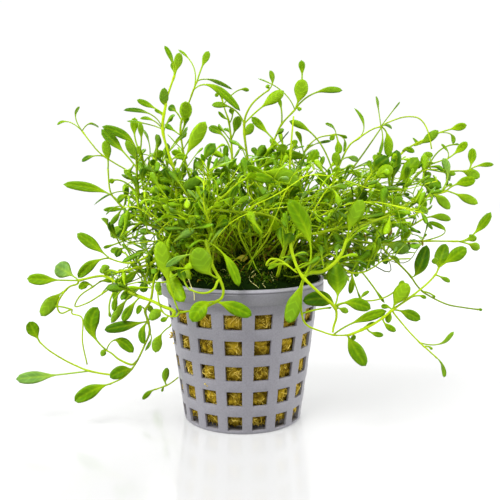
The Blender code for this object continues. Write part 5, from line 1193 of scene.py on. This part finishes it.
def grow_fine_roots(material):
    """Pale roots that curl over the front of the moss, and one that hangs over the rim."""
    chance = np.random.default_rng(37)
    growth = Growth()
    for marks in MOSS_ROOTS:
        route = smooth_route([on_moss(*mark) for mark in marks], STEM_STEPS)
        growth.add_thread(route, MOSS_ROOT_RADIUS, 6, ROOT_PALE)
    for _ in range(LOOSE_ROOTS):
        x = chance.uniform(*ROOTS_ACROSS)
        y = -math.sqrt(ROOTS_RADIUS ** 2 - x * x) * chance.uniform(0.35, 1.0)
        points = [on_mound(x, y, 0.0)]
        heading = shaken(chance, 1.0)
        for _ in range(4):
            heading = (heading + shaken(chance, 0.9)).normalized()
            point = points[-1] + Vector((heading.x, heading.y, 0.0)) * chance.uniform(0.6, 1.6)
            if math.hypot(point.x, point.y) > MOSS_EDGE_RADIUS:
                break
            point.z = moss_height(point.x, point.y) + 0.5 + 0.5 * heading.z
            points.append(point)
        if len(points) > 2:
            tone = blend(ROOT_PALE, SCRAP_BROWN, chance.random())
            growth.add_thread(smooth_route(points, 4), chance.uniform(*ROOT_RADIUS), 5, tone)
    route = smooth_route([seen(*mark) for mark in HANGING_ROOT], STEM_STEPS)
    growth.add_thread(route, HANGING_ROOT_RADIUS, 6, ROOT_PALE)
    growth.make("fine_roots", material, "leaf green")


def grow_dead_leaves(curves, material):
    """Withered leaves: one on the moss, and a few that still hang on the stems."""
    chance = np.random.default_rng(43)
    growth = Growth()
    scrap = [on_moss(*mark, 1.9) for mark in MOSS_SCRAP]
    add_leaf(growth, scrap, 3.8, 3.0, free_side(Vector((0.2, -1.6, 0.0))), SCRAP_BROWN, chance)
    side_at = free_side(Vector((0.0, -1.0, 0.0)))
    for across, up, depth, length in DEAD_LEAVES:
        tip = seen(across, up, depth)
        base = nearest_on(tip, curves.values())[1]
        if (tip - base).length < length:
            tip = tip + Vector((0.4, 0.0, -1.0)).normalized() * length
        spine = (base, base.lerp(tip, 0.5) + UP * 0.5, tip)
        add_leaf(growth, spine, length, length * WITHERED_WIDTH_SHARE, side_at, DEAD_BROWN, chance)
    growth.make("dead_leaves", material, "leaf green")


def around(radius, height, angle):
    """A point on the pot, with the angle counted from the front (-Y) towards +X."""
    return Vector((radius * math.sin(angle), -radius * math.cos(angle), height))


def wall_radius(height):
    """Outer radius of the pot's tapering wall at a height."""
    return BASE_RADIUS + (WALL_TOP_RADIUS - BASE_RADIUS) * (height / LEDGE_HEIGHT)


def wool_radius(height):
    """Outer radius of the rockwool at a height."""
    if height < PLUG_SHOULDER_HEIGHT:
        share = (height - PLUG_BOTTOM) / (PLUG_SHOULDER_HEIGHT - PLUG_BOTTOM)
        shoulder = wall_radius(PLUG_SHOULDER_HEIGHT) - PLUG_GAP
        return PLUG_FOOT_RADIUS + (shoulder - PLUG_FOOT_RADIUS) * max(share, 0.0)
    return wall_radius(min(height, PLUG_WIDEST_HEIGHT)) - PLUG_GAP


def in_hole(angle, height):
    """How far inside a hole of the pot a place on the wall is, from 0 outside to 1 well inside."""
    turn = (angle - FIRST_COLUMN_ANGLE + COLUMN_ANGLE / 2.0) % COLUMN_ANGLE - COLUMN_ANGLE / 2.0
    top_row = TOP_ROW_UPPER_EDGE - HOLE_HEIGHT / 2.0
    row = round((top_row - height) / HOLE_ROW_PITCH)
    if not 0 <= row < HOLE_ROWS:
        return 0.0
    middle = top_row - row * HOLE_ROW_PITCH
    across = (HOLE_HALF_ANGLE - abs(turn)) / (0.35 * HOLE_HALF_ANGLE)
    along = (HOLE_HEIGHT / 2.0 - abs(height - middle)) / (0.3 * HOLE_HEIGHT / 2.0)
    return clamp(min(across, along))


def wool_surface(angle, height):
    """A point of the rockwool's rough outside. The wool swells a little into the holes."""
    place = around(wool_radius(height), height, angle)
    rough = noise.noise(place * 0.55) * 0.6 + noise.noise(place * 1.7) * 0.35
    swell = in_hole(angle, height) if height > PLUG_SHOULDER_HEIGHT else 0.0
    return place + around(1.0, 0.0, angle) * (rough - 0.15 + swell)


def keep_inside_wall(point):
    """Moves a fibre's point in until it clears the inside of the pot's wall."""
    limit = wall_radius(point.z) - WALL_THICKNESS - 0.12
    if in_hole(math.atan2(point.x, -point.y), point.z) > 0.3:
        limit += WALL_THICKNESS
    radius = math.hypot(point.x, point.y)
    if radius <= limit:
        return point
    return Vector((point.x * limit / radius, point.y * limit / radius, point.z))


def add_fibre(growth, middle, angle, chance, tone):
    """One curled fibre that lies on the rockwool."""
    heading = Vector((math.cos(angle), math.sin(angle), 0.0)) * chance.normal(0.0, 1.0)
    heading += UP * chance.normal(0.0, 1.0)
    heading = heading.normalized() * chance.uniform(*FIBRE_HALF_LENGTH)
    curl = Vector(chance.uniform(-0.6, 0.6, 3))
    rise = around(1.0, 0.0, angle) * chance.uniform(0.05, 0.6)
    route = [middle - heading, middle - heading * 0.4 + curl * 0.5 + rise,
             middle + heading * 0.4 + rise - curl, middle + heading]
    route = [keep_inside_wall(point) for point in route]
    growth.add_thread(route, chance.uniform(*FIBRE_RADIUS), 3, tone)


def grow_wool(material):
    """The rockwool: a rough plug with loose fibres lying over it."""
    chance = np.random.default_rng(41)
    growth = Growth()
    rings = []
    colours = []
    for step in range(PLUG_STEPS + 1):
        height = PLUG_BOTTOM + (PLUG_TOP - PLUG_BOTTOM) * step / PLUG_STEPS
        ring = [wool_surface(-math.tau * k / PLUG_SIDES, height) for k in range(PLUG_SIDES)]
        # The plug under the fibres runs from painted gap shade to the middle tone in noisy patches
        shares = [0.52 + 1.5 * noise.noise(point * 0.6) + 0.9 * noise.noise(point * 1.7)
                  for point in ring]
        rings.append(ring)
        colours.append([blend(WOOL_DARK_AND_GAP_SHADE, WOOL_MIDDLE, clamp(share)) for share in shares])
    growth.add_rings(rings, colours)
    for _ in range(FIBRES):
        angle = chance.uniform(0.0, math.tau)
        lie = wool_surface(angle, chance.uniform(PLUG_BOTTOM + 0.3, FIBRES_TOP))
        share = 0.5 + 1.5 * noise.noise(lie * 0.6)
        if chance.random() > share + 0.25:
            continue
        # Fibres run from the middle tone towards the pale tone with its painted highlights; a quarter are
        # darker
        tone = blend(WOOL_MIDDLE, WOOL_PALE_AND_HIGHLIGHT, chance.random() * clamp(share + 0.2, 0.2))
        if chance.random() < 0.25:
            tone = blend(WOOL_DARK_AND_GAP_SHADE, WOOL_MIDDLE, chance.random())
        add_fibre(growth, lie, angle, chance, tone)
    growth.make("rockwool_fibres", material, "rockwool", "rockwool_plug")


def grow_wool_tufts(material):
    """Tufts of rockwool that poke out of a few holes."""
    chance = np.random.default_rng(47)
    growth = Growth()
    for across, up, depth, size in WOOL_TUFTS:
        middle = seen(across, up, depth)
        inward = Vector((-middle.x, -middle.y, 0.0)).normalized()
        for _ in range(TUFT_FIBRES):
            start = middle + inward * chance.uniform(0.0, 1.6) + shaken(chance, 0.26) * size
            heading = shaken(chance, 1.0).normalized() * size * 0.6
            bend = start + heading * 0.6 + shaken(chance, 0.2) * size
            tone = blend(WOOL_MIDDLE, WOOL_PALE_AND_HIGHLIGHT, chance.random())
            growth.add_tube([start, bend, start + heading], TUFT_RADII, 4, [tone] * 3)
    growth.make("rockwool_tufts", material, "rockwool")


def pot_rings():
    """The pot's outer profile as (radius, height, what fills the band above it)."""
    rings = [(CENTRE_RADIUS, 0.0, "solid"), (BASE_SLOT_INNER_RADIUS, 0.0, "slots"),
             (BASE_SLOT_OUTER_RADIUS, 0.0, "solid"), (BASE_RADIUS - FOOT_INSET, 0.0, "solid"),
             (BASE_RADIUS, FOOT_RISE, "solid")]
    for row in reversed(range(HOLE_ROWS)):
        upper = TOP_ROW_UPPER_EDGE - row * HOLE_ROW_PITCH
        lower = upper - HOLE_HEIGHT
        rings += [(wall_radius(lower), lower, "holes"), (wall_radius(upper), upper, "solid")]
    rings += [(WALL_TOP_RADIUS, LEDGE_HEIGHT - LEDGE_FILLET_DROP, "solid"),
              (WALL_TOP_RADIUS + LEDGE_FILLET_WIDTH, LEDGE_HEIGHT, "solid"),
              (RIM_RADIUS - COLLAR_ROUNDING, LEDGE_HEIGHT, "solid"),
              (RIM_RADIUS, LEDGE_HEIGHT + COLLAR_ROUNDING, "solid")]
    rings += [(RIM_RADIUS - inset, POT_HEIGHT - drop, "solid") for inset, drop in LIP_GROOVE]
    return rings + [(RIM_RADIUS, POT_HEIGHT, "end")]


def pot_sides():
    """The pot's upright edges as (angle, whether a hole starts there, whether a slot does)."""
    sides = []
    width = 2.0 * HOLE_HALF_ANGLE
    for column in range(HOLE_COLUMNS):
        start = FIRST_COLUMN_ANGLE + column * COLUMN_ANGLE - HOLE_HALF_ANGLE
        for k in range(HOLE_STEPS):
            sides.append((start + width * k / HOLE_STEPS, True, column % 2 == 0))
        for k in range(RIB_STEPS):
            sides.append((start + width + (COLUMN_ANGLE - width) * k / RIB_STEPS, False, False))
    return sides


def mould_pot(material):
    """The moulded net pot, with round walls and softened edges."""
    bm = bmesh.new()
    rings = pot_rings()
    sides = pot_sides()
    centre = bm.verts.new((0.0, 0.0, 0.0))
    rows = [[bm.verts.new(around(radius, height, side[0])) for side in sides]
            for radius, height, _ in rings]
    for i in range(len(sides)):
        bm.faces.new((centre, rows[0][(i + 1) % len(sides)], rows[0][i]))
    for (_, _, filling), row, above in zip(rings, rows, rows[1:]):
        for i, (_, is_hole, is_slot) in enumerate(sides):
            if not {"holes": is_hole, "slots": is_slot, "solid": False}[filling]:
                after = (i + 1) % len(sides)
                bm.faces.new((row[i], row[after], above[after], above[i]))
    bmesh.ops.recalc_face_normals(bm, faces=bm.faces)
    bmesh.ops.scale(bm, vec=(MM, MM, MM), verts=bm.verts)
    mesh = bpy.data.meshes.new("net_pot_fine")
    bm.to_mesh(mesh)
    bm.free()
    mesh.materials.append(material)
    pot = add_object("net_pot_fine", mesh)
    wall = pot.modifiers.new("Wall", "SOLIDIFY")
    wall.thickness = WALL_THICKNESS * MM
    wall.offset = -1.0
    wall.use_even_offset = True
    soft = pot.modifiers.new("Soft edges", "BEVEL")
    soft.width = EDGE_SOFTNESS * MM
    soft.segments = 2
    soft.limit_method = "ANGLE"
    soft.angle_limit = ROUNDED_FROM
    depsgraph = bpy.context.evaluated_depsgraph_get()
    pot.data = bpy.data.meshes.new_from_object(pot.evaluated_get(depsgraph))
    pot.modifiers.clear()
    pot.data.shade_smooth()
    pot.data.set_sharp_from_angle(angle=SHARP_FROM)
    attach(pot, "root")
    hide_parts("net_pot")


def set_inputs(tree, node, inputs):
    """Sets a node's inputs to values, or links them to what other nodes give out."""
    for name, value in inputs.items():
        if isinstance(value, bpy.types.NodeSocket):
            tree.links.new(value, node.inputs[name])
        else:
            node.inputs[name].default_value = value


def add_node(tree, kind, inputs, **settings):
    """A new shader node's outputs."""
    node = tree.nodes.new("ShaderNode" + kind)
    for name, value in settings.items():
        setattr(node, name, value)
    set_inputs(tree, node, inputs)
    return node.outputs


def maths(tree, operation, first, second=0.0):
    """A Math node's result."""
    return add_node(tree, "Math", {0: first, 1: second}, operation=operation)["Value"]


def colour_ramp(tree, share, stops):
    """The colour at a share of the way along a ramp of (position, colour) stops."""
    outputs = add_node(tree, "ValToRGB", {"Fac": share})
    elements = outputs["Color"].node.color_ramp.elements
    for number, (position, colour) in enumerate(stops):
        stop = elements[number] if number < 2 else elements.new(position)
        stop.position = position
        stop.color = (*colour, 1.0)
    return outputs["Color"]


def new_material(name, roughness, specular):
    """A material, its node tree and its shader."""
    material = bpy.data.materials.new(name)
    material.use_nodes = True
    tree = material.node_tree
    shader = tree.nodes["Principled BSDF"]
    set_inputs(tree, shader, {"Roughness": roughness, "Specular IOR Level": specular})
    return material, tree, shader


def bumped(tree, height, strength, distance):
    """A surface normal that stands out with a height."""
    inputs = {"Strength": strength, "Distance": distance * MM, "Height": height}
    return add_node(tree, "Bump", inputs)["Normal"]


def vein_height(tree):
    """The side veins of a leaf: slanting ridges, from 0 between them to 1 on them."""
    blade = add_node(tree, "Attribute", {}, attribute_name="Blade")
    parts = add_node(tree, "SeparateXYZ", {"Vector": blade["Vector"]})
    slant = maths(tree, "MULTIPLY", maths(tree, "ABSOLUTE", parts["X"]), VEIN_SLANT)
    along = maths(tree, "MULTIPLY", parts["Y"], VEIN_COUNT * math.tau)
    wave = maths(tree, "SINE", maths(tree, "SUBTRACT", along, slant))
    ridge = maths(tree, "POWER", maths(tree, "MAXIMUM", wave), 3.0)
    return maths(tree, "MULTIPLY", ridge, parts["Z"])


def tinted(name, roughness, specular, grain, grain_size, light_through=0.0):
    """A material that takes its colour from the mesh's Tint and breaks it up with fine noise."""
    material, tree, shader = new_material(name, roughness, specular)
    tint = add_node(tree, "Attribute", {}, attribute_name="Tint")
    speckle = add_node(tree, "TexNoise", {"Scale": 1.0 / (grain_size * MM), "Detail": 3.0})["Fac"]
    spread = add_node(tree, "MapRange", {"Value": speckle, "To Min": 1.0 - grain, "To Max": 1.0 + grain})
    veins = vein_height(tree)
    paler = maths(tree, "ADD", maths(tree, "MULTIPLY", veins, VEIN_PALER), 1.0)
    scale = maths(tree, "MULTIPLY", spread["Result"], paler)
    shade = add_node(tree, "VectorMath", {0: tint["Color"], "Scale": scale}, operation="SCALE")
    normal = bumped(tree, maths(tree, "SUBTRACT", speckle, veins), 0.35, 0.1)
    set_inputs(tree, shader, {"Base Color": shade["Vector"], "Normal": normal})
    if light_through > 0.0:
        set_inputs(tree, shader, {"Subsurface Weight": light_through, "Subsurface Scale": 0.6 * MM,
                                  "Subsurface Radius": (0.6, 1.0, 0.15)})
    return material


def grey_plastic():
    """The pot's satin moulded plastic: cloudy, with a darker collar and a painted highlight on the lip."""
    material, tree, shader = new_material("grey plastic", 0.36, 0.35)
    top = POT_HEIGHT + 1.0
    ledge = LEDGE_HEIGHT / top
    lip = (POT_HEIGHT - LIP_HIGHLIGHT_HEIGHT) / top
    place = add_node(tree, "TexCoord", {})["Object"]
    height = add_node(tree, "SeparateXYZ", {"Vector": place})["Z"]
    # The band ramp darkens the collar and makes the top of the lip 1.55 times brighter: a painted
    # highlight
    band = colour_ramp(tree, maths(tree, "DIVIDE", height, top * MM),
                       [(ledge - 0.01, WHITE), (ledge + 0.005, PLASTIC_COLLAR),
                        (lip, (0.74, 0.74, 0.74)), (lip + 0.004, (1.55, 1.55, 1.55))])
    cloud = add_node(tree, "TexNoise", {"Scale": 120.0, "Detail": 4.0})["Fac"]
    grey = colour_ramp(tree, cloud, [(0.35, PLASTIC_DARK), (0.65, PLASTIC_LIGHT)])
    shade = add_node(tree, "VectorMath", {0: grey, 1: band}, operation="MULTIPLY")["Vector"]
    grain = add_node(tree, "TexNoise", {"Scale": 2500.0})["Fac"]
    set_inputs(tree, shader, {"Base Color": shade, "Normal": bumped(tree, grain, 0.08, 0.05)})
    return material


def lay_floor():
    """A white floor that mirrors the pot a little."""
    mesh = bpy.data.meshes.new("floor")
    corners = [(-1, -1, 0), (1, -1, 0), (1, 1, 0), (-1, 1, 0)]
    mesh.from_pydata([Vector(corner) * FLOOR_REACH for corner in corners], [], [(0, 1, 2, 3)])
    white, tree, shader = new_material("floor white", 0.12, 0.5)
    set_inputs(tree, shader, {"Base Color": (0.34, 0.34, 0.34, 1.0), "Emission Strength": 0.29,
                              "Emission Color": (1.0, 1.0, 1.0, 1.0)})
    mesh.materials.append(white)
    floor = add_object("floor", mesh)


def light_world():
    """White surroundings that grow dimmer overhead, so that the softboxes shape the light."""
    world = bpy.data.worlds.new("studio")
    bpy.context.scene.world = world
    world.use_nodes = True
    tree = world.node_tree
    ways = add_node(tree, "TexCoord", {})["Generated"]
    height = add_node(tree, "SeparateXYZ", {"Vector": ways})["Z"]
    fade = add_node(tree, "MapRange", {"Value": height, "From Min": 0.25, "From Max": 0.55, "To Min": 1.02,
                                       "To Max": 0.36})["Result"]
    grey = add_node(tree, "CombineColor", {"Red": fade, "Green": fade, "Blue": fade})["Color"]
    set_inputs(tree, tree.nodes["Background"], {"Color": grey})


def add_softbox(name, place, target, size, power):
    """A square soft light that faces the plant."""
    data = bpy.data.lights.new(name, "AREA")
    data.size = size
    data.energy = power
    light = add_object(name, data)
    light.location = place
    light.rotation_euler = (Vector(target) - Vector(place)).to_track_quat("-Z", "Y").to_euler()


def set_stage():
    """The floor, soft studio light and the camera."""
    lay_floor()
    light_world()
    for name, settings in SOFTBOXES.items():
        add_softbox(name, *settings)
    camera_data = bpy.data.cameras.new("camera")
    camera_data.lens = CAMERA_LENS
    camera = add_object("camera", camera_data)
    camera.location = CAMERA_PLACE * MM
    camera.rotation_euler = (math.pi / 2.0 - CAMERA_PITCH, 0.0, -CAMERA_YAW)
    bpy.context.scene.camera = camera
    bpy.context.scene.view_settings.view_transform = "Standard"


def main():
    """Dress the plant and set the stage."""
    leaf = tinted("leaf green", 0.36, 0.05, 0.26, 1.8, 0.04)
    moss = tinted("moss", 0.8, 0.02, 0.3, 0.5)
    wool = tinted("rockwool", 0.8, 0.04, 0.25, 0.4)
    curves = grow_shoots(leaf)
    grow_side_leaves(curves, leaf)
    grow_undergrowth(leaf)
    grow_moss(moss)
    grow_fine_roots(leaf)
    grow_dead_leaves(curves, leaf)
    grow_wool(wool)
    grow_wool_tufts(wool)
    mould_pot(grey_plastic())
    set_stage()


main()
